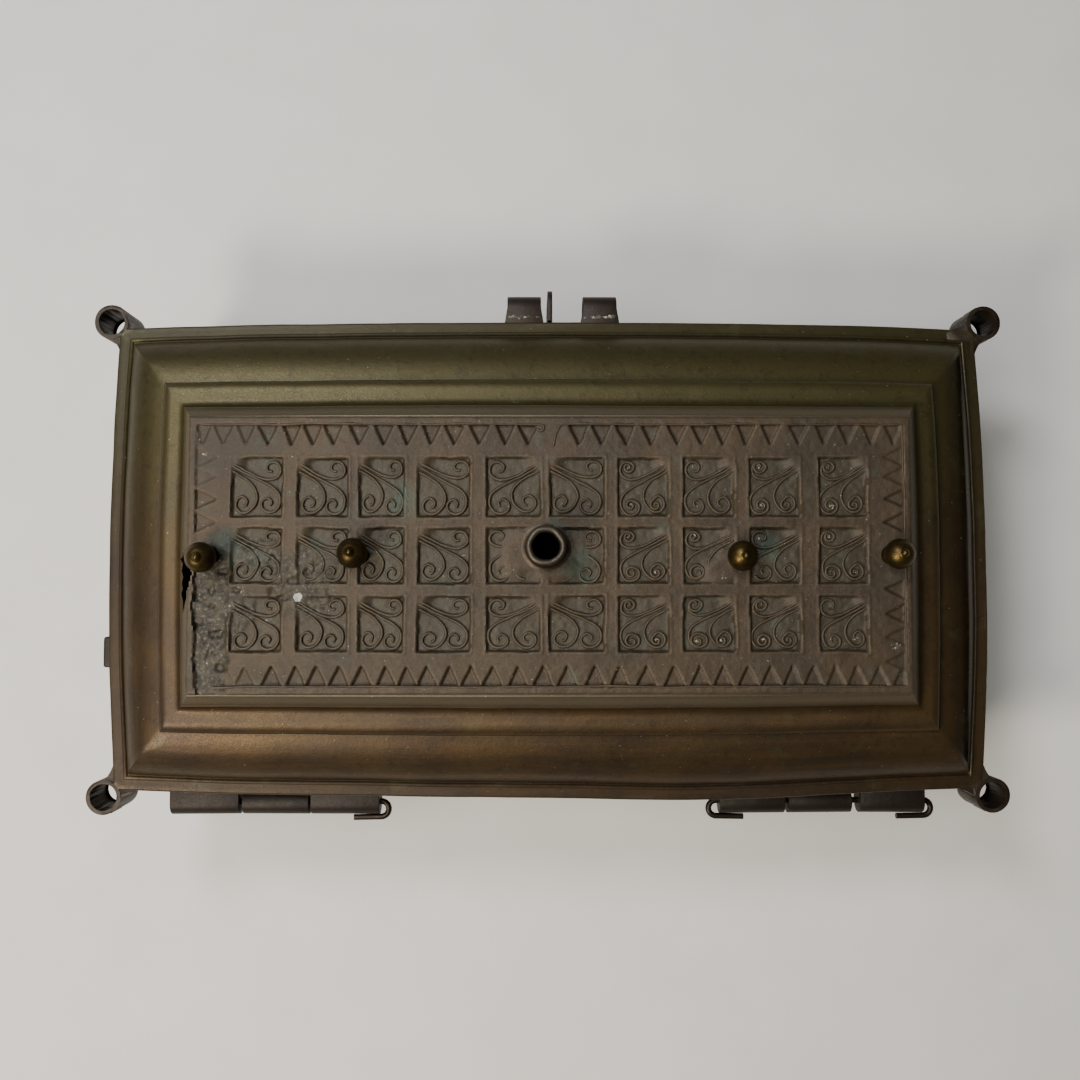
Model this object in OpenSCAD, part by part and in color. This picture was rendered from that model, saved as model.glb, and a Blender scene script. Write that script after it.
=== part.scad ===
// Rectangular cast box inkwell: a moulded lid with a relief panel, an ink mouth,
// four ball knobs and four corner pen tubes, hinged on a plain casing with a cup.
// Millimetres. The origin is the centre of the underside of the base plate.
// +X runs along the box, +Y points to the clasp, +Z is up.

/* [Plan of the box] */
// Length of the lid rim, from corner to corner
rim_length = 278; // [230:1:340]
// Depth of the lid rim, from corner to corner
rim_depth = 148.4; // [120:0.2:190]
// How far each side bows out at its middle
side_bow = 2.6; // [1.5:0.1:4]

/* [Lid shell] */
// Thickness of the lid skirt and the lid deck
skirt_wall = 2.4; // [1.8:0.1:3.2]
// Height of the lid skirt, which is also the length of the pen tubes
skirt_height = 15; // [12:0.5:20]
// Gap between the closed lid and the casing
lid_gap = 0.3; // [0.2:0.05:0.6]
// Width of the flat lip round the lid
lip_width = 4.3; // [4:0.1:6]
// Depth of the groove inside the lip
lip_groove = 0.9; // [0.5:0.1:1.5]
// Plan width of the lower, convex moulding on the ends
lower_run = 14.4; // [11:0.1:18]
// Rise of the lower moulding
lower_rise = 12.1; // [8:0.1:16]
// Height of the small step above the lower moulding
step_rise = 1; // [0.6:0.1:1.6]
// Plan width of the upper moulding on the ends
upper_run = 7.9; // [6:0.1:10]
// Rise of the upper moulding
upper_rise = 4.6; // [3:0.1:6]
// Plan width of the bevel under the panel on the ends
bevel_run = 3.2; // [2.5:0.1:5]
// Rise of the bevel under the panel
bevel_rise = 4.2; // [3:0.1:6]
// Plan width from the rim corner to the panel deck on the two long sides
long_side_run = 32; // [28:0.1:36]
// How far the panel deck still bows out
deck_bow = 0.4; // [0:0.1:1]

/* [Relief panel] */
// Thickness of the panel plate
panel_thick = 3; // [2.2:0.1:4]
// Margin of the deck that shows round the panel
panel_margin = 0.5; // [0.3:0.1:1]
// Width of the plain border of the panel
border_width = 2.4; // [1.8:0.1:3]
// Depth of the pockets and the sawtooth
relief_depth = 1.2; // [0.8:0.1:1.6]
// Number of pockets along the panel
pocket_columns = 10; // [6:1:12]
// Number of pocket rows
pocket_rows = 3; // [2:1:4]
// Bar between neighbouring pockets of a row
bar_between_pockets = 3.7; // [2:0.1:6]
// Bar between the rows
bar_between_rows = 4; // [2:0.1:6]
// Distance from the panel's ends to the pockets
end_margin = 13; // [11:0.1:16]
// Distance from the panel's long edges to the pockets
long_margin = 12.5; // [10.5:0.1:14]
// Distance from tooth to tooth
tooth_pitch = 7.1; // [6:0.1:9]
// Length of a tooth from its base to its point
tooth_length = 6.6; // [4:0.1:7]

/* [Ink mouth] */
// Radius of the bore of the ink mouth
mouth_bore_r = 4.15; // [3:0.05:6]
// Wall of the ink mouth tube
mouth_wall = 1.35; // [1:0.05:2]
// Height of the ink mouth above the panel
mouth_height = 12; // [8:0.5:18]
// How far the ink mouth reaches below the lid deck
mouth_tail = 6; // [5:0.5:9]
// Offset of the ink mouth from the middle of the lid, along the box
mouth_x = -1.5; // [-3:0.1:3]
// Offset of the ink mouth from the row of knobs, towards the clasp
mouth_y = 2.2; // [0:0.1:4]
// Radius of the ink mouth's foot flange
mouth_flange_r = 7.6; // [6.6:0.1:9]
// Height of the foot flange and of the rolled edge
mouth_flange_height = 1.4; // [1:0.1:2]
// Radius of the collar that holds the ink mouth under the lid
mouth_collar_r = 9; // [8:0.1:12]
// Height of that collar
mouth_collar_height = 2.6; // [2:0.1:4]

/* [Ball knobs] */
// Radius of the balls
ball_r = 4.6; // [3.5:0.1:6]
// Distance of the inner knobs from the middle
inner_knob_x = 57.5; // [40:0.5:65]
// Distance of the outer knobs from the panel's ends
outer_knob_inset = 6.7; // [5:0.1:9]
// Radius of the neck under the ball
neck_r = 2.3; // [1.8:0.1:3]
// Height of the neck that shows between the panel and the ball
neck_height = 2; // [1:0.1:4]
// Radius of the rivet shank through the lid
shank_r = 1.5; // [1.2:0.1:1.8]
// Radius of the washers under the lid
washer_r = 3.8; // [3:0.1:5]
// Thickness of the washers and of the riveted heads
washer_thick = 0.8; // [0.5:0.1:1.2]

/* [Pen tubes] */
// Radius of the bore of the corner pen tubes
pen_bore_r = 4.2; // [3:0.1:5]
// Wall of the corner pen tubes
pen_tube_wall = 1.3; // [1:0.1:2]
// Distance of a pen tube's centre beyond the rim corner along X
pen_tube_out_x = 3; // [2.5:0.1:5]
// Distance of a pen tube's centre beyond the rim corner along Y
pen_tube_out_y = 2.2; // [2:0.1:5]
// Height of the webs that join the tubes to the lid
web_height = 9; // [5:0.5:12]
// How far a web runs along the rim from the tube's centre
web_reach = 12; // [9:0.5:16]

/* [Hinges] */
// Radius of the hinge knuckles
knuckle_r = 4; // [2.6:0.1:5]
// Radius of the hinge wire
wire_r = 0.95; // [0.7:0.05:1.2]
// Running clearance round the hinge wire
wire_clearance = 0.06; // [0.02:0.01:0.1]
// Distance of a hinge's outer end from the rim corner
hinge_corner_inset = 14.2; // [8:0.1:24]
// Length of one knuckle
knuckle_length = 22.6; // [16:0.2:23]
// Gap between neighbouring knuckles
knuckle_gap = 0.5; // [0.3:0.1:1]
// Distance between the hooked end of a wire and the knuckle beside it
hook_gap = 0.2; // [0.1:0.05:0.6]
// Length of the straight end of a hook
hook_leg = 9; // [5:0.5:15]

/* [Clasp] */
// Radius of the clasp loops
loop_r = 4.6; // [3.8:0.1:5.4]
// Radius of the hole through the loops and the staple
loop_bore_r = 2.6; // [1.8:0.1:3]
// Left end of the left loop
left_loop_x = -13.6; // [-20:0.1:-12]
// Left end of the right loop
right_loop_x = 11.1; // [5:0.1:16]
// Width of one loop
loop_width = 11; // [8:0.1:11]
// Left face of the staple
staple_x = -0.5; // [-1:0.1:2]
// Thickness of the staple
staple_thick = 1.6; // [1.2:0.1:2.2]
// How far the staple stands out from the casing
staple_reach = 11.2; // [10:0.1:13]
// How far the staple runs down the casing
staple_drop = 16; // [10:0.5:26]

/* [Side lug] */
// Width of the small lug on the left end of the lid
lug_width = 10; // [6:0.5:14]
// How far the lug stands out
lug_reach = 2.2; // [1.6:0.1:4]
// Height of the lug
lug_height = 7; // [4:0.5:9]
// Place of the lug along Y
lug_y = -30.5; // [-50:0.5:50]
// Depth of the lug's top below the rim
lug_below_rim = 2; // [1:0.5:3]

/* [Casing] */
// Height of the casing wall
casing_height = 46; // [38:1:70]
// Clearance between the locating strip and the lid skirt
lid_clearance = 0.4; // [0.35:0.05:0.7]
// Thickness of the locating strip
strip_thick = 1.4; // [1:0.1:2]
// How far the strip stands up inside the lid
strip_above = 4; // [2:0.5:6]
// How far the strip runs down inside the casing
strip_below = 8; // [4:0.5:10]
// Thickness of the base plate
base_thick = 2.6; // [2:0.1:4]
// How far the base plate stands out round the casing
base_ledge = 1.8; // [1:0.1:3]
// Thickness of the dividers
divider_thick = 1.6; // [1.2:0.1:3]
// Height of the dividers
divider_height = 32; // [20:1:36]
// Distance of each divider from the middle
divider_x = 44; // [36:1:54]

/* [Ink cup] */
// Outer radius of the ink cup
cup_r = 22; // [18:0.5:26]
// Wall and floor of the ink cup
cup_wall = 2.2; // [1.8:0.1:3]
// Height of the ink cup
cup_height = 38; // [30:1:44]
// How far the cup's rim stands out
cup_rim = 1.2; // [0.8:0.1:2]
// Height of the cup's rim
cup_rim_height = 2.4; // [1.6:0.1:4]
// Gap between the cup and its collar
cup_gap = 0.6; // [0.4:0.1:1]
// Wall of the cup's collar
cup_collar_wall = 1.6; // [1.2:0.1:3]
// Height of the cup's collar
cup_collar_height = 8; // [5:0.5:14]

/* [Hidden] */
$fn = 64;

half_length = rim_length / 2 + side_bow;
half_depth = rim_depth / 2 + side_bow;
side_steps = 8;

// The bowed rectangle: each side is a shallow curve of side_steps straight pieces
function outline(inset_x, inset_y, bow) =
    let (cx = rim_length / 2 - inset_x, cy = rim_depth / 2 - inset_y,
         along = [for (i = [0 : side_steps - 1]) 2 * i / side_steps - 1])
    concat([for (t = along) [t * cx, -cy - bow * (1 - t * t)]],
           [for (t = along) [cx + bow * (1 - t * t), t * cy]],
           [for (t = along) [-t * cx, cy + bow * (1 - t * t)]],
           [for (t = along) [-cx - bow * (1 - t * t), -t * cy]]);

// Heights above the underside of the base
base_top = base_thick;
joint_z = base_top + casing_height;
skirt_z = joint_z + lid_gap;
rim_z = skirt_z + skirt_height;
deck_rise = lower_rise - lip_groove + step_rise + upper_rise + bevel_rise;
deck_z = rim_z + deck_rise;
deck_under_z = deck_z - skirt_wall;
panel_z = deck_z + panel_thick;

// The moulding's profile: distance in from the rim, height above the rim
end_run = lip_width + lower_run + upper_run + bevel_run;
lip_round = 0.8;
groove_slope = 0.4;
curve_steps = 6;
step_u = lip_width + lower_run;
step_v = lower_rise - lip_groove;
roll_run = upper_run * 5 / 12;
roll_rise = upper_rise / 2;
hollow_run = upper_run / 3;
ledge_u = step_u + upper_run;
ledge_v = step_v + step_rise + upper_rise;
function quarter(u, v, du, dv) =
    [for (i = [0 : curve_steps]) let (t = 90 * i / curve_steps) [u + du * (1 - cos(t)), v + dv * sin(t)]];
function hollow(u, v, du, dv) =
    [for (i = [1 : curve_steps]) let (t = 90 * i / curve_steps) [u + du * sin(t), v + dv * (1 - cos(t))]];
outer_profile = concat(
    [[0, -skirt_height], [0, -lip_round], [lip_round, 0], [lip_width - groove_slope, 0]],
    quarter(lip_width, -lip_groove, lower_run, lower_rise),
    quarter(step_u, step_v + step_rise, roll_run, roll_rise),
    [[ledge_u - hollow_run, step_v + step_rise + roll_rise]],
    hollow(ledge_u - hollow_run, step_v + step_rise + roll_rise, hollow_run, upper_rise - roll_rise),
    [[end_run, deck_rise]]);
inner_profile = concat(
    [[skirt_wall, -skirt_height - 1], [skirt_wall, -lip_groove - skirt_wall]],
    quarter(lip_width + skirt_wall, -lip_groove - skirt_wall, lower_run - skirt_wall / 2, lower_rise),
    [[ledge_u + skirt_wall / 2, ledge_v - skirt_wall],
     [end_run + skirt_wall / 4, deck_rise - skirt_wall]]);

// Past the lip the moulding is wider on the long sides, and its bow fades towards the deck
function past_lip(u) = max(0, u - lip_width) / (end_run - lip_width);
function long_inset(u) = min(u, lip_width) + past_lip(u) * (long_side_run - lip_width);
function bow_at(u) = side_bow - past_lip(u) * (side_bow - deck_bow);
function ring(p) = [for (q = outline(p[0], long_inset(p[0]), bow_at(p[0]))) [q[0], q[1], rim_z + p[1]]];

// Panel
panel_half_length = rim_length / 2 - end_run - panel_margin;
panel_half_depth = rim_depth / 2 - long_side_run - panel_margin;
tooth_base_y = panel_half_depth - border_width;
tooth_base_x = panel_half_length - border_width;
pocket_pitch_x = (2 * (panel_half_length - end_margin) + bar_between_pockets) / pocket_columns;
pocket_pitch_y = (2 * (panel_half_depth - long_margin) + bar_between_rows) / pocket_rows;
pocket_length = pocket_pitch_x - bar_between_pockets;
pocket_width = pocket_pitch_y - bar_between_rows;
tooth_share = 0.84;
tooth_half = tooth_share * tooth_pitch / 2;
long_teeth = floor((2 * tooth_base_x - tooth_length) / tooth_pitch);
side_teeth_from = 1.5;
side_teeth_to = floor((panel_half_depth - long_margin) / tooth_pitch) - 0.5;

// Hinges, clasp and tubes
hinge_y = -half_depth - knuckle_r;
wire_bore_r = wire_r + wire_clearance;
hinge_length = 3 * knuckle_length + 2 * knuckle_gap;
hinge_start = rim_length / 2 - hinge_corner_inset - hinge_length;
hook_r = (knuckle_r + hook_gap + wire_r) / 2;
leaf_gap = 0.3;
mouth_r = mouth_bore_r + mouth_wall;
pen_tube_r = pen_bore_r + pen_tube_wall;
pen_tube_x = rim_length / 2 + pen_tube_out_x;
pen_tube_y = rim_depth / 2 + pen_tube_out_y;
web_turn = 25;
web_waist = pen_tube_r / 5;
loop_y = half_depth + loop_r;
loop_below_rim = 0.2;
loop_z = rim_z - loop_r - loop_below_rim;
loop_wall = loop_r - loop_bore_r;
loop_flare = 0.8;
staple_gap = 0.4;
staple_crown = 4.2;
casing_wall = skirt_wall + lid_clearance;
outer_knob_x = panel_half_length - outer_knob_inset;
knob_places = [-outer_knob_x, -inner_knob_x, inner_knob_x, outer_knob_x];
neck_flare = 0.6;
ball_sink = 0.15 * ball_r;
ball_z = panel_z + neck_height + ball_r - ball_sink;
bud_r = ball_r * 0.36;
bud_from = ball_r * 0.9;
bud_height = ball_r * 0.38;

// The bowed plan, moved in from the rim by inset
module plan(inset) {
    polygon(outline(inset, inset, side_bow));
}

module plan_prism(inset, z, height) {
    translate([0, 0, z]) linear_extrude(height) plan(inset);
}

// A closed solid whose sides follow a profile from the skirt up to the deck
module moulded(profile) {
    count = 4 * side_steps;
    last = (len(profile) - 1) * count;
    polyhedron(
        points = [for (p = profile) each ring(p)],
        faces = concat(
            [[for (i = [0 : count - 1]) i]],
            [for (k = [0 : len(profile) - 2], i = [0 : count - 1]) let (j = (i + 1) % count)
                each [[k * count + i, (k + 1) * count + i, (k + 1) * count + j],
                      [k * count + i, (k + 1) * count + j, k * count + j]]],
            [[for (i = [count - 1 : -1 : 0]) last + i]]));
}

module at_pen_tubes() {
    for (sx = [-1, 1]) for (sy = [-1, 1])
        translate([sx * pen_tube_x, sy * pen_tube_y, 0]) children();
}

module shank_holes(z, height) {
    for (x = knob_places) translate([x, 0, z]) cylinder(r = shank_r, h = height);
}

module lid_shell() {
    color("#5a3f2a") difference() {
        moulded(outer_profile);
        moulded(inner_profile);
        at_pen_tubes() translate([0, 0, skirt_z - 1]) cylinder(r = pen_tube_r, h = skirt_height + 2);
        translate([mouth_x, mouth_y, deck_under_z - 1]) cylinder(r = mouth_r, h = skirt_wall + 2);
        shank_holes(deck_under_z - 1, skirt_wall + 2);
    }
}

module tooth(length) {
    polygon([[-tooth_half, 0], [tooth_half, 0], [0, -length]]);
}

module long_tooth_row() {
    for (i = [0 : long_teeth - 1])
        translate([(i - (long_teeth - 1) / 2) * tooth_pitch, tooth_base_y]) tooth(tooth_length);
}

module side_tooth_row() {
    for (i = [side_teeth_from : side_teeth_to], s = [-1, 1])
        translate([tooth_base_x, s * i * tooth_pitch]) rotate(-90) tooth(tooth_length);
}

module relief_panel() {
    color("#6b5138") difference() {
        translate([-panel_half_length, -panel_half_depth, deck_z])
            cube([2 * panel_half_length, 2 * panel_half_depth, panel_thick]);
        for (i = [0 : pocket_columns - 1], j = [0 : pocket_rows - 1])
            translate([(i - (pocket_columns - 1) / 2) * pocket_pitch_x - pocket_length / 2,
                       (j - (pocket_rows - 1) / 2) * pocket_pitch_y - pocket_width / 2,
                       panel_z - relief_depth])
            cube([pocket_length, pocket_width, relief_depth + 1]);
        translate([0, 0, panel_z - relief_depth]) linear_extrude(relief_depth + 1) {
            long_tooth_row();
            mirror([0, 1]) long_tooth_row();
            side_tooth_row();
            mirror([1, 0]) side_tooth_row();
        }
        translate([mouth_x, mouth_y, deck_z - 1]) cylinder(r = mouth_r, h = panel_thick + 2);
        shank_holes(deck_z - 1, panel_thick + 2);
    }
}

module ink_mouth() {
    edge_r = mouth_flange_height * 2 / 3;
    bottom = deck_under_z - mouth_tail;
    color("#6e5636") translate([mouth_x, mouth_y, 0]) difference() {
        union() {
            translate([0, 0, bottom]) cylinder(r = mouth_r, h = panel_z + mouth_height - bottom);
            translate([0, 0, panel_z]) cylinder(r1 = mouth_flange_r, r2 = mouth_r, h = mouth_flange_height);
            translate([0, 0, panel_z + mouth_height - edge_r])
                rotate_extrude() translate([mouth_r - edge_r / 2, 0]) circle(r = edge_r);
        }
        translate([0, 0, bottom - 1]) cylinder(r = mouth_bore_r, h = panel_z + mouth_height - bottom + 2);
    }
}

module mouth_collar() {
    color("#6e5636") translate([mouth_x, mouth_y, deck_under_z - mouth_collar_height]) difference() {
        cylinder(r = mouth_collar_r, h = mouth_collar_height);
        translate([0, 0, -1]) cylinder(r = mouth_r, h = mouth_collar_height + 2);
    }
}

module ball_knob() {
    head_z = deck_under_z - 2 * washer_thick;
    translate([0, 0, head_z]) cylinder(r = shank_r, h = ball_z - head_z);
    translate([0, 0, head_z]) cylinder(r1 = shank_r, r2 = shank_r + washer_thick, h = washer_thick);
    translate([0, 0, panel_z]) cylinder(r1 = neck_r + neck_flare, r2 = neck_r, h = ball_z - panel_z);
    translate([0, 0, ball_z]) sphere(r = ball_r);
    translate([0, 0, ball_z + bud_from]) cylinder(r1 = bud_r, r2 = bud_r / 3, h = bud_height);
}

module ball_knobs() {
    color("#8a7440") for (x = knob_places) translate([x, 0, 0]) ball_knob();
}

module knob_washers() {
    color("#7a6138") for (x = knob_places) translate([x, 0, deck_under_z - washer_thick]) difference() {
        cylinder(r = washer_r, h = washer_thick);
        translate([0, 0, -1]) cylinder(r = shank_r, h = washer_thick + 2);
    }
}

// A pen tube at the +X +Y corner, with the web that joins it to the rim
module pen_tube() {
    difference() {
        union() {
            translate([pen_tube_x, pen_tube_y, skirt_z]) cylinder(r = pen_tube_r, h = skirt_height);
            difference() {
                translate([pen_tube_x, pen_tube_y, rim_z - web_height]) linear_extrude(web_height)
                    polygon([[-web_reach, -pen_tube_out_y], [-web_reach / 2, web_waist],
                             [-pen_tube_r * sin(web_turn), pen_tube_r * cos(web_turn)],
                             [pen_tube_r * cos(web_turn), -pen_tube_r * sin(web_turn)],
                             [web_waist, -web_reach / 2], [-pen_tube_out_x, -web_reach],
                             [-web_reach, -web_reach]]);
                plan_prism(0, rim_z - web_height - 1, web_height + 2);
            }
        }
        translate([pen_tube_x, pen_tube_y, skirt_z - 1]) cylinder(r = pen_bore_r, h = skirt_height + 2);
    }
}

module pen_tube_front_left() {
    color("#54402f") mirror([1, 0, 0]) pen_tube();
}

module pen_tube_front_right() {
    color("#54402f") pen_tube();
}

module pen_tube_back_left() {
    color("#54402f") mirror([1, 0, 0]) mirror([0, 1, 0]) pen_tube();
}

module pen_tube_back_right() {
    color("#54402f") mirror([0, 1, 0]) pen_tube();
}

// Knuckle number index of a hinge on the +X side; up is 1 on the lid and -1 on the casing
module hinge_knuckle(index, up) {
    x = hinge_start + index * (knuckle_length + knuckle_gap);
    low = up > 0 ? leaf_gap : -knuckle_r;
    difference() {
        union() {
            translate([x, hinge_y, joint_z]) rotate([0, 90, 0]) cylinder(r = knuckle_r, h = knuckle_length);
            translate([x, hinge_y, joint_z + low])
                cube([knuckle_length, half_depth / 4, knuckle_r - leaf_gap]);
        }
        plan_prism(0, joint_z - knuckle_r - 1, 2 * knuckle_r + 2);
        translate([x - 1, hinge_y, joint_z]) rotate([0, 90, 0])
            cylinder(r = wire_bore_r, h = knuckle_length + 2);
    }
}

module lid_leaf() {
    hinge_knuckle(0, 1);
    hinge_knuckle(2, 1);
}

module left_hinge_lid_leaf() {
    color("#4f3d2e") mirror([1, 0, 0]) lid_leaf();
}

module right_hinge_lid_leaf() {
    color("#4f3d2e") lid_leaf();
}

module left_hinge_casing_leaf() {
    color("#3f352c") mirror([1, 0, 0]) hinge_knuckle(1, -1);
}

module right_hinge_casing_leaf() {
    color("#3f352c") hinge_knuckle(1, -1);
}

// A hinge wire on the +X side; its ends are bent back beside the knuckles
module hinge_wire(outer_hook) {
    start = hinge_start - hook_gap;
    finish = hinge_start + hinge_length + (outer_hook ? hook_gap : 0);
    translate([start, hinge_y, joint_z]) rotate([0, 90, 0]) cylinder(r = wire_r, h = finish - start);
    translate([start, hinge_y, joint_z]) hook();
    if (outer_hook) translate([finish, hinge_y, joint_z]) mirror([1, 0, 0]) hook();
}

module hook() {
    translate([0, -hook_r, 0]) rotate([0, 0, 90]) rotate_extrude(angle = 180) translate([hook_r, 0])
        circle(r = wire_r);
    translate([0, -2 * hook_r, 0]) rotate([0, 90, 0]) cylinder(r = wire_r, h = hook_leg);
}

module left_hinge_pin() {
    color("#463a30") mirror([1, 0, 0]) hinge_wire(false);
}

module right_hinge_pin() {
    color("#463a30") hinge_wire(true);
}

module clasp_loop(x) {
    difference() {
        union() {
            translate([x, loop_y, loop_z]) rotate([0, 90, 0]) cylinder(r = loop_r, h = loop_width);
            translate([x, loop_y - loop_r - side_bow, loop_z + loop_r - loop_wall])
                cube([loop_width, loop_r + side_bow, loop_wall]);
            translate([x - loop_flare, loop_y - loop_r - side_bow, loop_z + loop_r - loop_wall])
                cube([loop_width + 2 * loop_flare, side_bow + loop_flare, loop_wall]);
        }
        translate([x - 1, loop_y, loop_z]) rotate([0, 90, 0]) cylinder(r = loop_bore_r, h = loop_width + 2);
        plan_prism(0, loop_z - loop_r - 1, 2 * loop_r + 2);
    }
}

module left_clasp_loop() {
    color("#6a5a4c") clasp_loop(left_loop_x);
}

module right_clasp_loop() {
    color("#6a5a4c") clasp_loop(right_loop_x);
}

// A thin plate on the casing whose eye stands between the two clasp loops
module clasp_staple() {
    corner = staple_reach * 0.4;
    top = loop_z + staple_crown;
    color("#4a4a30") difference() {
        union() {
            translate([staple_x, half_depth - side_bow, joint_z - staple_drop])
                cube([staple_thick, staple_reach + side_bow - corner, top - joint_z + staple_drop]);
            translate([staple_x, half_depth - side_bow, joint_z - staple_drop])
                cube([staple_thick, staple_reach + side_bow, top - corner - joint_z + staple_drop]);
            translate([staple_x, half_depth + staple_reach - corner, top - corner])
                rotate([0, 90, 0]) cylinder(r = corner, h = staple_thick);
        }
        plan_prism(0, joint_z - staple_drop - 1, staple_drop + 1);
        plan_prism(-staple_gap, joint_z, rim_z - joint_z + staple_crown);
        translate([staple_x - 1, loop_y, loop_z]) rotate([0, 90, 0])
            cylinder(r = loop_bore_r, h = staple_thick + 2);
    }
}

module side_lug() {
    edge = 1.2;
    color("#6a5a4c") difference() {
        translate([-half_length - lug_reach, lug_y - lug_width / 2, rim_z - lug_below_rim - lug_height]) {
            translate([edge, 0, 0]) cube([lug_reach + side_bow, lug_width, lug_height]);
            translate([0, edge, 0]) cube([lug_reach + side_bow, lug_width - 2 * edge, lug_height]);
            for (y = [edge, lug_width - edge]) translate([edge, y, 0]) cylinder(r = edge, h = lug_height);
        }
        plan_prism(0, skirt_z, skirt_height + 1);
    }
}

module casing() {
    color("#4d3a2a") difference() {
        plan_prism(0, base_top, casing_height);
        plan_prism(casing_wall, base_top - 1, casing_height + 2);
    }
}

module base_plate() {
    color("#483728") plan_prism(-base_ledge, 0, base_thick);
}

module locating_strip() {
    color("#5c4733") difference() {
        plan_prism(casing_wall, joint_z - strip_below, strip_below + strip_above);
        plan_prism(casing_wall + strip_thick, joint_z - strip_below - 1, strip_below + strip_above + 2);
    }
}

module divider(x) {
    intersection() {
        translate([x - divider_thick / 2, -half_depth, base_top])
            cube([divider_thick, 2 * half_depth, divider_height]);
        plan_prism(casing_wall, base_top - 1, divider_height + 2);
    }
}

module left_divider() {
    color("#5c4733") divider(-divider_x);
}

module right_divider() {
    color("#5c4733") divider(divider_x);
}

module cup_collar() {
    color("#5c4733") translate([mouth_x, mouth_y, base_top]) difference() {
        cylinder(r = cup_r + cup_gap + cup_collar_wall, h = cup_collar_height);
        translate([0, 0, -1]) cylinder(r = cup_r + cup_gap, h = cup_collar_height + 2);
    }
}

module ink_cup() {
    color("#8a7440") translate([mouth_x, mouth_y, base_top]) difference() {
        union() {
            cylinder(r = cup_r, h = cup_height);
            translate([0, 0, cup_height - cup_rim_height]) cylinder(r = cup_r + cup_rim, h = cup_rim_height);
        }
        translate([0, 0, cup_wall]) cylinder(r = cup_r - cup_wall, h = cup_height);
    }
}

lid_shell();
relief_panel();
ink_mouth();
mouth_collar();
ball_knobs();
knob_washers();
pen_tube_front_left();
pen_tube_front_right();
pen_tube_back_left();
pen_tube_back_right();
left_hinge_lid_leaf();
right_hinge_lid_leaf();
left_hinge_pin();
right_hinge_pin();
left_clasp_loop();
right_clasp_loop();
side_lug();
casing();
base_plate();
locating_strip();
left_hinge_casing_leaf();
right_hinge_casing_leaf();
clasp_staple();
left_divider();
right_divider();
cup_collar();
ink_cup();
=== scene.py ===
# Cast bronze inkwell box: a moulded lid with a relief panel, hinged on a plain casing with a cup
import math
from functools import partial

import bmesh
import bpy
import numpy as np
from mathutils import Euler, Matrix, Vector


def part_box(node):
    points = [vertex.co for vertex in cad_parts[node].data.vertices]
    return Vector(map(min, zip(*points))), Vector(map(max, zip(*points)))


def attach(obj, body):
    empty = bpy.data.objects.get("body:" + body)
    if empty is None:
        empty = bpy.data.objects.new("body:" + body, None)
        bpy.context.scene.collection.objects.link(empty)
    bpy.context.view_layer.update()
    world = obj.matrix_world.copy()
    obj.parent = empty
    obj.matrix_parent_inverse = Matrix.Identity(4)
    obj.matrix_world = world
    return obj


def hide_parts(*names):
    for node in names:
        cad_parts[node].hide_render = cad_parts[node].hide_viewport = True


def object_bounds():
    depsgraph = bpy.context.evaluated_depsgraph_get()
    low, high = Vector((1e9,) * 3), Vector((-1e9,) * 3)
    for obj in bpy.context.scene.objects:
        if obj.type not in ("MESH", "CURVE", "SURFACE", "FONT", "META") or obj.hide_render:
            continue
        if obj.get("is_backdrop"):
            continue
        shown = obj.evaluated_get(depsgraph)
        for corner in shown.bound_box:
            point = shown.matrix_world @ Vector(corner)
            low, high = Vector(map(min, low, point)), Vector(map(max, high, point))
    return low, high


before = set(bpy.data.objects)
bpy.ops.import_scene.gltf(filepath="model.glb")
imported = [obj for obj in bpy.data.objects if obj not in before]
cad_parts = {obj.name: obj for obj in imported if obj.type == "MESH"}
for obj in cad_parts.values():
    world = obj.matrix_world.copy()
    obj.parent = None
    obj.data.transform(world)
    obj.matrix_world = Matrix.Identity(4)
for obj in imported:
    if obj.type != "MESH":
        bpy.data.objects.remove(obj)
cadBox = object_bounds()
mm = 0.001
print("frame loaded")


# small tools

def deselect():
    if bpy.context.object and bpy.context.object.mode != "OBJECT":
        bpy.ops.object.mode_set(mode="OBJECT")
    bpy.ops.object.select_all(action="DESELECT")


def only(piece):  # selects this piece and nothing else
    deselect()
    bpy.context.view_layer.objects.active = piece
    piece.select_set(True)


def edit(piece):  # into edit mode, with all of the mesh selected
    only(piece)
    bpy.ops.object.mode_set(mode="EDIT")
    bpy.ops.mesh.select_all(action="SELECT")


def linear(code):  # an sRGB hex colour as linear RGBA
    parts = [int(code[i:i + 2], 16) / 255 for i in (1, 3, 5)]
    return [c / 12.92 if c <= 0.04045 else ((c + 0.055) / 1.055) ** 2.4 for c in parts] + [1]


def smoothStep(low, high, x):
    t = np.clip((x - low) / (high - low), 0, 1)
    return t * t * (3 - 2 * t)


def cloud(x, y, size, seed):  # soft noise from -1 to 1, its lumps about size across
    table = np.random.default_rng(seed).uniform(-1, 1, (128, 128))
    u, v = np.asarray(x) / size + 500, np.asarray(y) / size + 500
    i, j = np.floor(u).astype(int), np.floor(v).astype(int)
    a, b = u - i, v - j
    a, b = a * a * (3 - 2 * a), b * b * (3 - 2 * b)
    i0, i1, j0, j1 = i % 128, (i + 1) % 128, j % 128, (j + 1) % 128
    low = table[i0, j0] * (1 - a) + table[i1, j0] * a
    high = table[i0, j1] * (1 - a) + table[i1, j1] * a
    return low * (1 - b) + high * b


def points(piece):
    co = np.empty(len(piece.data.vertices) * 3)
    piece.data.vertices.foreach_get("co", co)
    return co.reshape(-1, 3)


def setPoints(piece, co):
    piece.data.vertices.foreach_set("co", np.ascontiguousarray(co, dtype=np.float32).ravel())
    piece.data.update()


def settle(piece):  # the place goes into the mesh, and the object stays at the origin
    only(piece)
    bpy.ops.object.transform_apply(location=True, rotation=True, scale=True)


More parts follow.
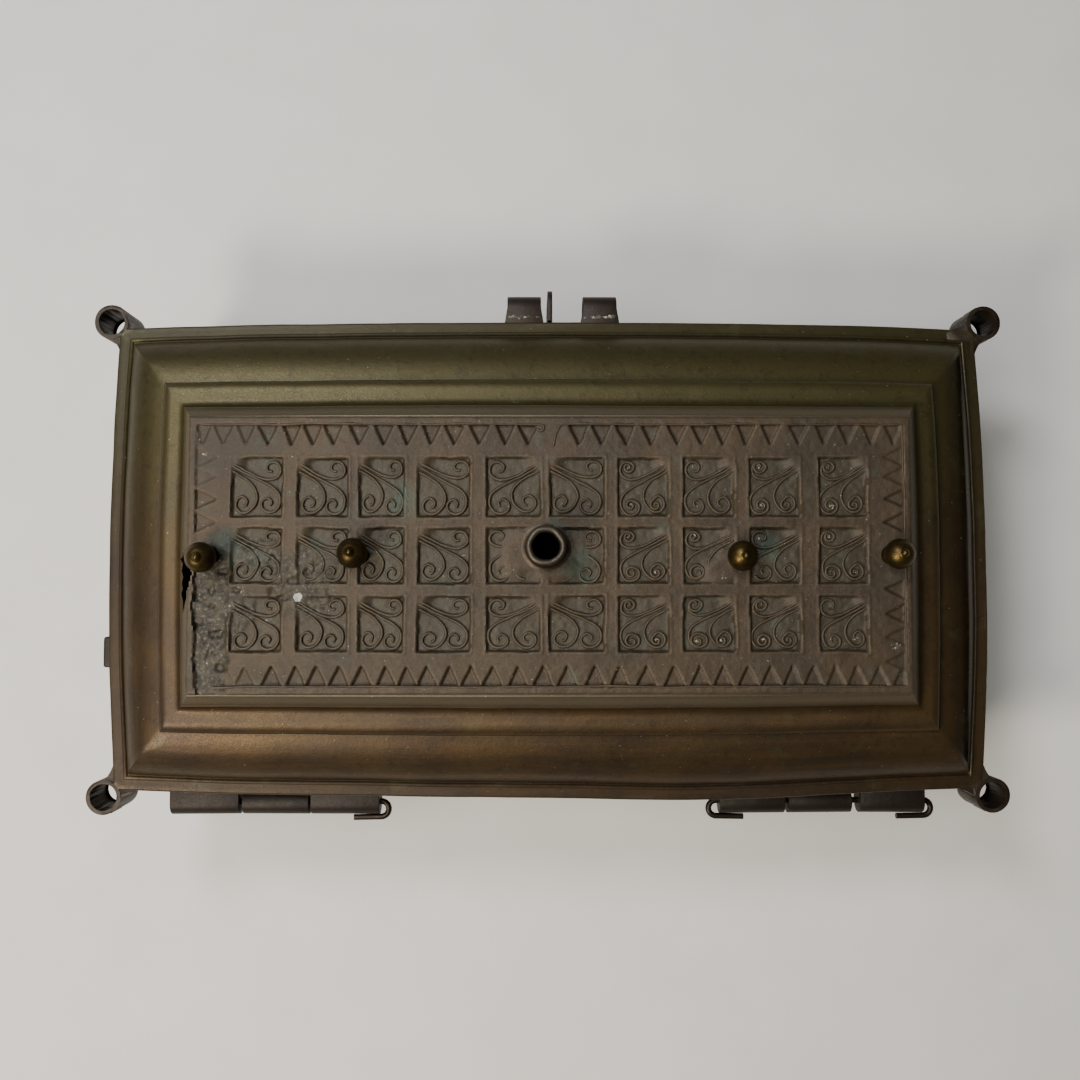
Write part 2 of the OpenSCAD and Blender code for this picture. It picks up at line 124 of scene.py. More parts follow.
def outward(piece, merge=0.01 * mm):
    edit(piece)
    bpy.ops.mesh.remove_doubles(threshold=merge)
    bpy.ops.mesh.normals_make_consistent(inside=False)
    bpy.ops.object.mode_set(mode="OBJECT")


def applied(piece, kind, **settings):  # adds a modifier with its settings and applies it
    modifier = piece.modifiers.new(kind.title(), kind)
    for name, value in settings.items():
        setattr(modifier, name, value)
    only(piece)
    bpy.ops.object.modifier_apply(modifier=modifier.name)


def cut(piece, cutter, operation="DIFFERENCE"):
    applied(piece, "BOOLEAN", object=cutter, operation=operation, solver="EXACT")
    bpy.data.objects.remove(cutter)


def rounded(piece, width, segments=2, angle=35):
    applied(piece, "BEVEL", width=width, segments=segments, limit_method="ANGLE",
            angle_limit=math.radians(angle), use_clamp_overlap=True)


def joined(name, parts):
    deselect()
    for part in parts:
        part.select_set(True)
    bpy.context.view_layer.objects.active = parts[0]
    if len(parts) > 1:
        bpy.ops.object.join()
    parts[0].name = parts[0].data.name = name
    return parts[0]


def ownCopy(piece, name):
    twin = piece.copy()
    twin.data = piece.data.copy()
    twin.name = twin.data.name = name
    bpy.context.collection.objects.link(twin)
    return twin


def meshFrom(name, verts, edges=(), faces=()):
    data = bpy.data.meshes.new(name)
    data.from_pydata([tuple(v) for v in verts], edges, faces)
    piece = bpy.data.objects.new(name, data)
    bpy.context.collection.objects.link(piece)
    return piece


def turned(name, profile, centre, steps=72):  # a profile of (radius, height) turned on a lathe
    piece = meshFrom(name, [(centre[0] + r, centre[1], z) for r, z in profile],
                     [(i, i + 1) for i in range(len(profile) - 1)])
    edit(piece)
    bpy.ops.mesh.spin(steps=steps, angle=2 * math.pi, center=(centre[0], centre[1], 0), axis=(0, 0, 1))
    bpy.ops.object.mode_set(mode="OBJECT")
    outward(piece)
    return piece


def slab(name, outline, low, high, place=lambda a, b, c: (a, b, c)):
    # an outline pushed out into a solid from low to high; place says which way it stands
    piece = meshFrom(name, [place(a, b, low) for a, b in outline], faces=[list(range(len(outline)))])
    edit(piece)
    way = Vector(place(0, 0, high)) - Vector(place(0, 0, low))
    bpy.ops.mesh.extrude_region_move(TRANSFORM_OT_translate={"value": way})
    bpy.ops.object.mode_set(mode="OBJECT")
    outward(piece)
    return piece


def wire(name, paths, radius, sides=2):  # bent wire along each path of points
    curve = bpy.data.curves.new(name, "CURVE")
    curve.dimensions = "3D"
    curve.bevel_depth, curve.bevel_resolution, curve.use_fill_caps = radius, sides, True
    for path in paths:
        spline = curve.splines.new("POLY")
        spline.points.add(len(path) - 1)
        for point, (x, y, z, *thin) in zip(spline.points, path):
            point.co = (x, y, z, 1)
            point.radius = thin[0] if thin else 1
    piece = bpy.data.objects.new(name, curve)
    bpy.context.collection.objects.link(piece)
    only(piece)
    bpy.ops.object.convert(target="MESH")
    piece = bpy.context.object
    outward(piece, 0.001 * mm)
    return piece


def normals(piece):
    way = np.empty(len(piece.data.vertices) * 3)
    piece.data.vertices.foreach_get("normal", way)
    return way.reshape(-1, 3)


def markWear(piece, spread=2, gain=1.6):
    # "wear" is high on edges that hands rub, "grime" in corners where dirt stays
    data, co, normal = piece.data, points(piece), normals(piece)
    ends = np.empty(len(data.edges) * 2, int)
    data.edges.foreach_get("vertices", ends)
    a, b = ends.reshape(-1, 2).T
    way = co[b] - co[a]
    way /= np.maximum(np.linalg.norm(way, axis=1, keepdims=True), 1e-9)
    count = np.maximum(np.bincount(a, minlength=len(co)) + np.bincount(b, minlength=len(co)), 1)
    bend = (np.bincount(a, (way * normal[a]).sum(1), len(co))
            - np.bincount(b, (way * normal[b]).sum(1), len(co))) / count
    for _ in range(spread):
        around = np.bincount(a, bend[b], len(co)) + np.bincount(b, bend[a], len(co))
        bend = 0.5 * bend + 0.5 * around / count
    for name, value in (("wear", -bend), ("grime", bend)):
        mark = data.attributes.get(name) or data.attributes.new(name, "FLOAT", "POINT")
        mark.data.foreach_set("value", np.clip(value * gain, 0, 1).astype(np.float32))


def mark(piece, **values):  # named float values on a piece's points, for its material to read
    for name, value in values.items():
        made = piece.data.attributes.get(name) or piece.data.attributes.new(name, "FLOAT", "POINT")
        made.data.foreach_set("value", np.asarray(value, np.float32))


def done(piece, body, slot, material, *nodes, angle=38, wear=1.6):
    settle(piece)
    piece.data.materials.clear()
    piece.data.materials.append(material)
    only(piece)
    bpy.ops.object.shade_smooth_by_angle(angle=math.radians(angle))
    markWear(piece, gain=wear)
    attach(piece, body)
    if nodes:
        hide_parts(*nodes)


# metals

def addNode(tree, kind, inputs, out=0, **settings):
    # each input takes a number, a hex colour or another node's output; gives back one of its own outputs
    node = tree.nodes.new("ShaderNode" + kind)
    for name, value in settings.items():
        setattr(node, name, value)
    for name, value in inputs.items():
        if isinstance(value, bpy.types.NodeSocket):
            tree.links.new(value, node.inputs[name])
        else:
            node.inputs[name].default_value = linear(value) if isinstance(value, str) else value
    return node.outputs[out] if len(node.outputs) else None


def patina(name, look):
    # oxidised copper alloy: mottled skin, rubbed edges, dirt in the corners, pale specks and green; some
    # metals also carry painted shade, and the lid bronze a painted green reflection
    material = bpy.data.materials.new(name)
    material.use_nodes = True
    tree = material.node_tree
    tree.nodes.clear()
    add = partial(addNode, tree)
    place = add("TexCoord", {}, "Object")
    marks = {key: add("Attribute", {}, "Fac", attribute_name=key)
             for key in ("wear", "grime", "crust", "deep", "dust", "lime", "verdigris", "run", "rise")}

    clouds = {}  # each with its lump size, detail, roughness and start
    for key, lump, detail, rough, start in (
            ("blotch", look["blotch"], 5, 0.62, (0, 0, 0)), ("mottle", look["mottle"], 6, 0.7, (0.1, 0.2, 0)),
            ("fine", look["grain"], 5, 0.65, (0.9, 0.4, 0.3)), ("rub", 4 * mm, 4, 0.7, (0.5, 0.1, 0.2)),
            ("patch", 9 * mm, 5, 0.65, (0.7, 0.3, 0)), ("grit", 1.1 * mm, 3, 0.7, (0.2, 0.9, 0)),
            ("scab", 3.5 * mm, 4, 0.7, (0, 0, 0)), ("grain", 0.9 * mm, 2, 0.5, (0.4, 0.6, 0.1)),
            ("flake", 0.8 * mm, 3, 0.6, (0.3, 0.1, 0.6))):
        where = add("Mapping", {"Vector": place, "Location": start})
        clouds[key] = add("TexNoise", {"Vector": where, "Scale": 1 / lump, "Detail": detail,
                                       "Roughness": rough})
    clouds["flake"] = add("Math", {0: marks["lime"], 1: 0.25, 2: clouds["flake"]}, operation="MULTIPLY_ADD")
    # long faint streaks that run with the mouldings
    along = add("Math", {0: marks["run"], 1: 0.07}, operation="MULTIPLY")
    flow = add("CombineXYZ", {"X": along, "Y": marks["rise"]})
    clouds["streak"] = add("TexNoise", {"Vector": flow, "Scale": 1 / (3 * mm), "Detail": 5,
                                        "Roughness": 0.65})
    clouds["front"] = add("SeparateXYZ", {0: place}, "Y")  # painted reflection: the skin is tinted olive towards the clasp side, standing in for a green reflection

    shown = {}  # how far each colour shows: its cloud, from where, to where, and how strongly at most
    for key, cloudName, low, high, most in (
            ("second", "blotch", 0.38, 0.64, 1),
            ("streak", "streak", 0.42, 0.75, look.get("streakAmount", 0)),
            ("olive", "front", -20 * mm, 55 * mm, 0.85), ("dark", "mottle", 0.5, 0.75, 0.55),
            ("rubbed", "rub", 0.25, 0.7, 1), ("green", "patch", 0.56, 0.72, look.get("greenAmount", 0)),
            ("verdigris", "mottle", 0.25, 0.6, 0.62), ("crustDark", "scab", 0.4, 0.62, 1),
            ("crustPale", "grit", 0.52, 0.66, 0.85), ("chalk", "flake", 0.77, 0.92, 0.75),
            ("speck", "grain", 0.735, 0.76, look.get("speckAmount", 0))):
        span = {"Value": clouds[cloudName], "From Min": low, "From Max": high, "To Max": most}
        shown[key] = add("MapRange", span, interpolation_type="SMOOTHSTEP")
    for key, markName in (("rubbed", "wear"), ("verdigris", "verdigris")):
        shown[key] = add("Math", {0: shown[key], 1: marks[markName]}, operation="MULTIPLY")
    for key, a, b, operation in (
            ("worn", shown["rubbed"], 0.9, "MULTIPLY"), ("dirt", marks["grime"], 0.9, "MULTIPLY"),
            ("deep", marks["deep"], 0.8, "MULTIPLY"), ("crust", marks["crust"], 0.85, "MULTIPLY"),
            ("dust", marks["dust"], 1, "MULTIPLY"), ("green", shown["green"], shown["verdigris"], "MAXIMUM"),
            ("speck", shown["speck"], shown["chalk"], "MAXIMUM")):
        shown[key] = add("Math", {0: a, 1: b}, operation=operation)

    colours = dict(look)
    for key in ("crustDark", "crustPale"):
        if key in look:
            scab = {0: shown[key], 6: colours["crust"], 7: look[key]}
            colours["crust"] = add("Mix", scab, 2, data_type="RGBA")
    colour = look["skin"]
    for key in ("second", "streak", "olive", "dark", "dust", "deep", "dirt", "worn", "green", "crust",
                "speck"):
        if key in look:
            colour = add("Mix", {0: shown[key], 6: colour, 7: colours[key]}, 2, data_type="RGBA")

    rough = add("MapRange", {"Value": clouds["fine"], "From Min": 0.3, "From Max": 0.7,
                             "To Min": look["rough"][0], "To Max": look["rough"][1]})
    rough = add("Math", {0: shown["rubbed"], 1: -0.12, 2: rough}, operation="MULTIPLY_ADD")
    bumps = add("Bump", {"Height": clouds["fine"], "Strength": look["bump"], "Distance": 0.12 * mm})
    lumps = add("Bump", {"Height": clouds["mottle"], "Normal": bumps, "Strength": look["bump"],
                         "Distance": 0.25 * mm})
    surface = {"Base Color": colour, "Roughness": rough, "Normal": lumps, "Metallic": look["metallic"]}
    if look.get("blind"):  # sunk places and the lid's painted shade don't shine
        for key, most in (("Metallic", look["metallic"]), ("Specular IOR Level", 0.5)):
            surface[key] = add("MapRange", {"Value": marks["deep"], "From Min": 0.2, "From Max": 1,
                                            "To Min": most, "To Max": 0})
    add("OutputMaterial", {"Surface": add("BsdfPrincipled", surface)})
    return material


metals = {
    # sand-cast bronze, brown skin: soft satin sheen, lighter where it is rubbed; its olive is a painted green
    # reflection, and its near-black deep colour is painted shade
    "castBronze": dict(skin="#42331b", second="#372a1a", streak="#573d1d", olive="#3f3b1d",
                       dark="#251b10", dirt="#130d08", worn="#60564a", green="#4c5638", speck="#cfcabb",
                       deep="#0e0a06", dust="#615846", blotch=26 * mm, mottle=3.2 * mm, grain=0.5 * mm,
                       rough=(0.36, 0.56), bump=0.35, metallic=0.6, greenAmount=0.15, speckAmount=0.2,
                       streakAmount=0.5, blind=True),
    # the same casting where smoke and handling have blackened it; the black deep colour is painted shade
    # inside the bores
    "tubeBronze": dict(skin="#291f14", second="#241c10", dark="#15100a", dirt="#0b0805", worn="#4e4334",
                       deep="#040302", green="#323a24", blotch=8 * mm, mottle=2.4 * mm, grain=0.45 * mm,
                       rough=(0.4, 0.6), bump=0.4, metallic=0.5, greenAmount=0.5, blind=True),
    # wax-cast relief: drier and paler than the lid, grey-green in its pockets
    "reliefBronze": dict(skin="#403423", second="#362d1f", dark="#271f15", dirt="#14100a",
                         worn="#6f6148", deep="#393426", green="#3c4d42", crust="#393427",
                         crustDark="#1f1c15", crustPale="#5b584a", speck="#b0aea4",
                         blotch=22 * mm, mottle=1.5 * mm, grain=0.45 * mm, rough=(0.48, 0.7), bump=0.6,
                         metallic=0.4, greenAmount=0.3, speckAmount=0.35),
    # rubbed brass: warm and shiny on top; the dark brown at the foot is painted shade
    "knobBrass": dict(skin="#4a3c1d", second="#382d17", dark="#211a0d", dirt="#0f0b06", worn="#6f5c33",
                      deep="#1b140a", blotch=4 * mm, mottle=1.4 * mm, grain=0.35 * mm, rough=(0.3, 0.48),
                      bump=0.25, metallic=0.9),
    # dull grey-brown brass of the ink mouth
    "mouthBrass": dict(skin="#413b31", second="#362f26", dark="#241d15", dirt="#0e0b08", worn="#6f675a",
                       deep="#372d21", blotch=6 * mm, mottle=1.6 * mm, grain=0.4 * mm, rough=(0.36, 0.55),
                       bump=0.3, metallic=0.7),
    # forged strip, dark brown with a dull sheen; solder has run grey along its roots
    "hingeBronze": dict(skin="#231a12", second="#1e1710", dark="#140e08", dirt="#080503", worn="#4a3c2a",
                        green="#2f3826", crust="#5d564a", crustDark="#312a20", crustPale="#c4c2ba",
                        blotch=9 * mm, mottle=1.8 * mm, grain=0.45 * mm,
                        rough=(0.45, 0.66), bump=0.5, metallic=0.5, greenAmount=0.4),
    # drawn wire, dark with a rubbed line of light
    "hingeWire": dict(skin="#2b2319", second="#231b13", dark="#17110b", dirt="#0c0805", worn="#574b39",
                      blotch=5 * mm, mottle=1.2 * mm, grain=0.4 * mm, rough=(0.34, 0.5), bump=0.25,
                      metallic=0.75),
    # plain cast walls: darker and more even than the lid
    "casingBronze": dict(skin="#3f2f1c", second="#342717", dark="#20160d", dirt="#100b06",
                         worn="#6b5b40", green="#475339", blotch=32 * mm, mottle=3.5 * mm, grain=0.5 * mm,
                         rough=(0.4, 0.6), bump=0.4, metallic=0.6, greenAmount=0.2),
    # spun brass of the cup, black with dried ink inside
    "cupBrass": dict(skin="#6f5a30", second="#5c4926", dark="#352a12", dirt="#15100a", worn="#ab925c",
                     deep="#0b0a0c", blotch=12 * mm, mottle=2 * mm, grain=0.4 * mm, rough=(0.32, 0.5),
                     bump=0.25, metallic=0.85),
}
metal = {name: patina(name, look) for name, look in metals.items()}
print("metals mixed")


# the bowed plan that the lid and the casing share

lidLow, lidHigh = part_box("lid_shell")
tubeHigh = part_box("pen_tube_front_right")[1]
panelLow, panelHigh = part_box("relief_panel")
plan = {
    "bow": 2.6 * mm,  # how far each side swells at its middle
    "pieces": 64,  # straight pieces per side
}
rimX, rimY = lidHigh.x - plan["bow"], lidHigh.y - plan["bow"]
rimZ, skirtZ, deckZ, panelZ = tubeHigh.z, lidLow.z, lidHigh.z, panelHigh.z


def bowed(turn, insetX, insetY, bow):  # turn runs from 0 to 4 round the four sides
    side, t = int(turn) % 4, 2 * (turn % 1) - 1
    x, y = rimX - insetX, rimY - insetY
    swell = bow * (1 - t * t)
    return ((t * x, -y - swell), (x + swell, t * y), (-t * x, y + swell), (-x - swell, -t * y))[side]


def ringed(name, rings, closed):
    # one ring of edges is extruded from place to place; each ring is (insetX, insetY, bow, z)
    count = 4 * plan["pieces"]
    turns = [4 * i / count for i in range(count)]
    place = [[(*bowed(t, *ring[:3]), ring[3]) for t in turns] for ring in rings]
    piece = meshFrom(name, place[0], [(i, (i + 1) % count) for i in range(count)])
    edit(piece)
    bpy.ops.mesh.select_mode(type="EDGE")
    bpy.ops.mesh.select_all(action="SELECT")
    if not closed:
        bpy.ops.mesh.edge_face_add()
        bpy.ops.mesh.select_all(action="SELECT")
    for ring in place[1:]:
        bpy.ops.mesh.extrude_edges_indiv()
        bm = bmesh.from_edit_mesh(piece.data)
        for v, spot in zip([v for v in bm.verts if v.select], ring):
            v.co = spot
        bmesh.update_edit_mesh(piece.data)
    if closed:
        bpy.ops.mesh.select_all(action="DESELECT")
        bm = bmesh.from_edit_mesh(piece.data)
        for e in bm.edges:
            e.select_set(e.is_boundary)
        bpy.ops.mesh.bridge_edge_loops()
    else:
        bpy.ops.mesh.edge_face_add()
    bpy.ops.object.mode_set(mode="OBJECT")
    outward(piece)
    return piece


# lid shell: one skin from the deck's underside, round the skirt's foot, up over the mouldings

lid = {
    "wall": 2.4, "skirt": 15.0,
    "lip": 4.3, "lipRound": 0.8, "groove": 0.9,
    "lower": (14.4, 12.1), "step": 1.0, "upper": (7.9, 4.6), "bevel": (3.2, 4.2),
    "longRun": 32.0,  # plan width of the mouldings on the two long sides
    "deckBow": 0.4, "waves": 0.22, "arcSteps": 9,
    "shade": 0.36, "lipShade": 0.62, "dust": 0.6,  # painted shade: how dark the foot and the lip are; and how pale the upward faces near the top are
    "endShade": (1.9, 0.35),  # painted shade: how much darker the lower moulding is at the right and left ends
    "bulge": (48, 42, 1.2),  # the back lip swells by the right hinge: where, how far along, how much
    "mouthHole": 5.4,
}


def lidRing(u, v):  # u in from the rim on the ends, v above the rim, both in mm
    endRun = lid["lip"] + lid["lower"][0] + lid["upper"][0] + lid["bevel"][0]
    past = max(0, u - lid["lip"]) / (endRun - lid["lip"])
    longInset = min(u, lid["lip"]) + past * (lid["longRun"] - lid["lip"])
    bow = plan["bow"] - past * (plan["bow"] - lid["deckBow"] * mm)
    return (u * mm, longInset * mm, bow, rimZ + v * mm)


def arc(u, v, du, dv, rising):  # a quarter of an ellipse, steep at its start if rising
    turns = [math.pi / 2 * i / lid["arcSteps"] for i in range(lid["arcSteps"] + 1)]
    if rising:
        return [(u + du * (1 - math.cos(t)), v + dv * math.sin(t)) for t in turns]
    return [(u + du * math.sin(t), v + dv * (1 - math.cos(t))) for t in turns]


def softArc(u, v, du, dv):  # a quarter ellipse that leans a little towards a straight slope
    return [(0.8 * a + 0.2 * (u + du * k / lid["arcSteps"]), 0.8 * b + 0.2 * (v + dv * k / lid["arcSteps"]))
            for k, (a, b) in enumerate(arc(u, v, du, dv, True))]


def lidProfile():
    wall, lip, groove = lid["wall"], lid["lip"], lid["groove"]
    (lowRun, lowRise), (upRun, upRise), (bevelRun, bevelRise) = lid["lower"], lid["upper"], lid["bevel"]
    stepU, stepV = lip + lowRun, lowRise - groove
    ledgeU, ledgeV = stepU + upRun, stepV + lid["step"] + upRise
    deckU, deckV = ledgeU + bevelRun, ledgeV + bevelRise
    inner = [(wall, -lid["skirt"]), (wall, -groove - wall)]
    inner += arc(lip + wall, -groove - wall, lowRun - wall / 2, lowRise, True)
    inner += [(ledgeU + wall / 2, ledgeV - wall), (deckU + wall / 4, deckV - wall)]
    outer = [(0.3, -lid["skirt"]), (0, -lid["skirt"] + 0.3), (0, -lid["skirt"] / 2), (0, -lid["lipRound"])]
    outer += arc(0, -lid["lipRound"], lid["lipRound"], lid["lipRound"], True)[2::2]
    outer += [(lip * 0.45, -0.1), (lip - 1.0, -0.05), (lip - 0.7, 0.12), (lip - 0.3, 0.2), (lip, 0.05),
              (lip + 0.25, -groove * 0.3)]
    outer += softArc(lip + 0.5, -groove * 0.4, lowRun - 0.5, lowRise - groove * 0.6)
    outer += [(stepU + 0.1, stepV + 0.12), (stepU + 0.15, stepV + lid["step"] * 0.7)]
    outer += arc(stepU + 0.15, stepV + lid["step"] * 0.7, upRun * 5 / 12, upRise / 2 + 0.3, True)
    outer += arc(ledgeU - upRun / 3, stepV + lid["step"] + upRise / 2, upRun / 3, upRise / 2, False)
    outer += [(ledgeU + 0.35, ledgeV + 0.2), (ledgeU + bevelRun * 0.5, ledgeV + bevelRise * 0.52),
              (deckU - 0.3, deckV - 0.25), (deckU, deckV)]
    return inner[::-1] + outer


crack = {  # the casting flaw at the panel's left end, open to the inside
    "outline": [(-109.1, 2.6), (-108.2, 0.6), (-108.4, -0.4), (-107.8, -1.9), (-108.0, -3.3), (-106.8, -5.3),
                (-107.5, -7.0), (-107.8, -9.2), (-108.6, -10.6), (-108.9, -12.2), (-109.9, -13.5),
                (-111.2, -17.0), (-111.3, -13.9), (-112.3, -11.6), (-111.4, -10.2), (-112.0, -8.2),
                (-111.3, -6.6), (-112.2, -4.6), (-111.6, -2.6), (-113.0, -1.0), (-111.6, -0.3),
                (-110.6, 0.9), (-110.0, 1.3)],
}
crackOutline = [(x * mm, y * mm) for x, y in crack["outline"]]
mouthLow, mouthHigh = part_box("ink_mouth")
mouthX, mouthY = (mouthLow.x + mouthHigh.x) / 2, (mouthLow.y + mouthHigh.y) / 2
penTube = {"radius": 5.5, "bore": 4.2, "webHeight": 9.0, "reach": 12.0, "lip": 0.35}
tubeR = penTube["radius"] * mm
tubeX, tubeY = tubeHigh.x - tubeR, tubeHigh.y - tubeR


def rod(name, x, y, low, high, radius, sides=64):
    bpy.ops.mesh.primitive_cylinder_add(vertices=sides, radius=radius, depth=high - low,
                                        location=(x, y, (low + high) / 2))
    piece = bpy.context.object
    piece.name = name
    settle(piece)
    return piece


def crossRod(place, radius, length, sides=40):  # a round cutter that lies along X
    bpy.ops.mesh.primitive_cylinder_add(vertices=sides, radius=radius, depth=length, location=place,
                                        rotation=(0, math.pi / 2, 0))
    return bpy.context.object


deselect()
lidShell = ringed("lidShell", [lidRing(u, v) for u, v in lidProfile()], False)
co = points(lidShell)
x, y, z = co.T / mm
inEnd, inLong = rimX / mm - abs(x), (rimY / mm - abs(y)) / 1.08
onEnd = inEnd < inLong
inset = np.where(onEnd, inEnd, inLong)
above = (normals(lidShell)[:, 2] > 0.02) & (z > rimZ / mm - 1)
past = inset - lid["lip"]
foot = 1 - smoothStep(3, 10, past)
foot += onEnd * (1 - smoothStep(8.7, 13.7, past)) * np.where(x > 0, *lid["endShade"])
foot *= smoothStep(0.2, 2.5, past)
onLip = 1 - smoothStep(-1.1, -0.5, past)
# painted shade: the lid is darkened at the foot of the lower moulding, on the lip, and most at the right end;
# the upward faces near the top are made paler
mark(lidShell, run=np.where(onEnd, y + 300, x) * mm, rise=(inset + z) * mm,
     deep=(lid["shade"] * foot + lid["lipShade"] * onLip) * above,
     dust=lid["dust"] * smoothStep(deckZ / mm - 5, deckZ / mm - 3, z) * above)
shift = np.stack([cloud(y + z, x, 34, 1) + 0.4 * cloud(y, x + z, 11, 2),
                  cloud(x + z, y, 34, 3) + 0.4 * cloud(x, y + z, 11, 4),
                  cloud(x, y, 30, 5) + 0.4 * cloud(x, y, 10, 6)], 1)
held = smoothStep(skirtZ / mm + 3, rimZ / mm - 1, z) * (1 - 0.7 * smoothStep(deckZ / mm - 3, deckZ / mm, z))
co += shift * lid["waves"] * mm * held[:, None]
outside = smoothStep(rimZ / mm - 9, rimZ / mm - 2, z) * (1 - smoothStep(2, 12, inLong)) * (y < 0)
spot, reach, most = lid["bulge"]
co[:, 1] -= most * mm * np.exp(-((x - spot) / reach) ** 2) * outside
setPoints(lidShell, co)
cutters = [rod("cutter", sx * tubeX, sy * tubeY, skirtZ - mm, rimZ + mm, tubeR - 0.15 * mm)
           for sx in (-1, 1) for sy in (-1, 1)]
cutters.append(rod("cutter", mouthX, mouthY, deckZ - 5 * mm, deckZ + 2 * mm, lid["mouthHole"] * mm))
cutters.append(slab("cutter", crackOutline, deckZ - 9 * mm, deckZ + 2 * mm))
cut(lidShell, joined("cutters", cutters))
done(lidShell, "lid", "lid_bronze", metal["castBronze"], "lid_shell", angle=24, wear=1.3)
print("lid shell cast")


# relief panel: the height of the plate's face, in mm above its plain top, from pockets, teeth and flaws

panel = {
    "cell": 0.44,  # grid square of the mesh
    "depth": 1.25,  # of a pocket
    "pitch": (19.51, 20.8),  # of the pockets, whose columns and rows wander and differ in width
    "columnShift": (-0.2, 0, -1.9, -2.7, -1.4, -1.9, -1.4, -1.2, -1.0, 0.1),
    "columnWidth": (15.1, 15.0, 13.4, 15.5, 16.0, 16.3, 15.1, 15.0, 14.9, 14.2),
    "rowShift": (0.1, -0.3, -0.5), "rowWidth": (16.4, 16.6, 17.6),
    "fansLeft": (0, 1, 2, 3, 5),  # columns whose stems spring from the left corner
    "toothLength": 6.5, "toothHalf": 3.05, "border": 2.4, "wobble": 0.26,
    "topTips": (-104.6, -98.2, -91.5, -84.9, -77.9, -71.6, -65.3, -57.6, -50.2, -43.2, -35.8, -28.8,
                -21.4, -13.7, -6.7, 8.4, 15.2, 22.5, 30.4, 38.2, 45.3, 51.9, 58.9, 66.3, 74.8, 82.5,
                89.5, 96.5, 103.5),
    "bottomTips": (-103.5, -96.7, -91.2, -83.4, -76.0, -69.8, -63.1, -56.5, -49.1, -42.8, -36.9, -30.3, -23.7,
                   -17.4, -9.7, -2.3, 5.1, 13.2, 20.5, 28.7, 36.8, 44.5, 51.5, 58.9, 65.5, 72.2, 78.5, 85.1,
                   91.4, 98.0, 105.0),
    "sideTips": (-31.8, -24.7, -17.8, -10.3, 9.8, 16.7, 23.6, 29.4),
    "eyes": ((0.80, 0.85), (0.745, 0.19), (0.25, 0.20)),  # where the curls end, in shares of a pocket
    # smears of solder round the mouth and by the knobs: x, y and half sizes
    "smears": ((-2.5, 0, 15, 10.5), (53, -4, 8, 7), (103, -6, 6, 3), (-101, 3, 7, 7)),
    "pearl": ((-75.5, -12.6, 1.5),),  # one white drop
    "lime": ((104, -15, 2), (103, -28, 2.5), (97, 30, 2), (-92, -10, 3), (-95, -17, 3.5), (-84, -20, 2),
             (52, -7, 2.5), (-75.5, -12.5, 1.1), (-88, -3, 1.5), (-104, 30, 2)),  # x, y and reach
    "verdigris": ((-97, 2, 8), (-88, -1, 5), (-44, 16, 7), (8, -4, 7), (2, 8, 4), (66, 2, 5), (-70, 3, 4)),
    "rough": ((-74, -8, 11, 11, 0.75), (-87, -1.5, 9, 6, 0.6), (-93, -17, 4.5, 8, 0.6)),  # reach, strength
}
halfX, halfY = panelHigh.x / mm, panelHigh.y / mm
pockets = []
for i in range(10):
    for j in range(3):
        pockets.append(dict(
            x=(i - 4.5) * panel["pitch"][0] + panel["columnShift"][i], column=i,
            y=(j - 1) * panel["pitch"][1] + panel["rowShift"][j], row=j,
            w=panel["columnWidth"][i] / 2, h=panel["rowWidth"][j] / 2,
            side=1 if i in panel["fansLeft"] else -1))


def crustAt(x, y):  # 1 where the casting came out rough: patches by the left knobs, and the left strip
    rag = 3.2 * cloud(x, y, 7, 21) + 1.8 * cloud(x, y, 2.6, 22)
    found = np.zeros(x.shape)
    for cx, cy, rx, ry, most in panel["rough"]:
        reach = np.hypot((x - cx) / rx, (y - cy) / ry) + rag / (rx + ry)
        found = np.maximum(found, most * (1 - smoothStep(0.75, 1.15, reach)))
    strip = (1 - smoothStep(-98, -94.5, x + 0.8 * rag)) * (1 - smoothStep(-2, 5, y + 1.5 * rag))
    return np.clip(np.maximum(found, strip * (x + 0.25 * rag > 2.6 - halfX)), 0, 1)


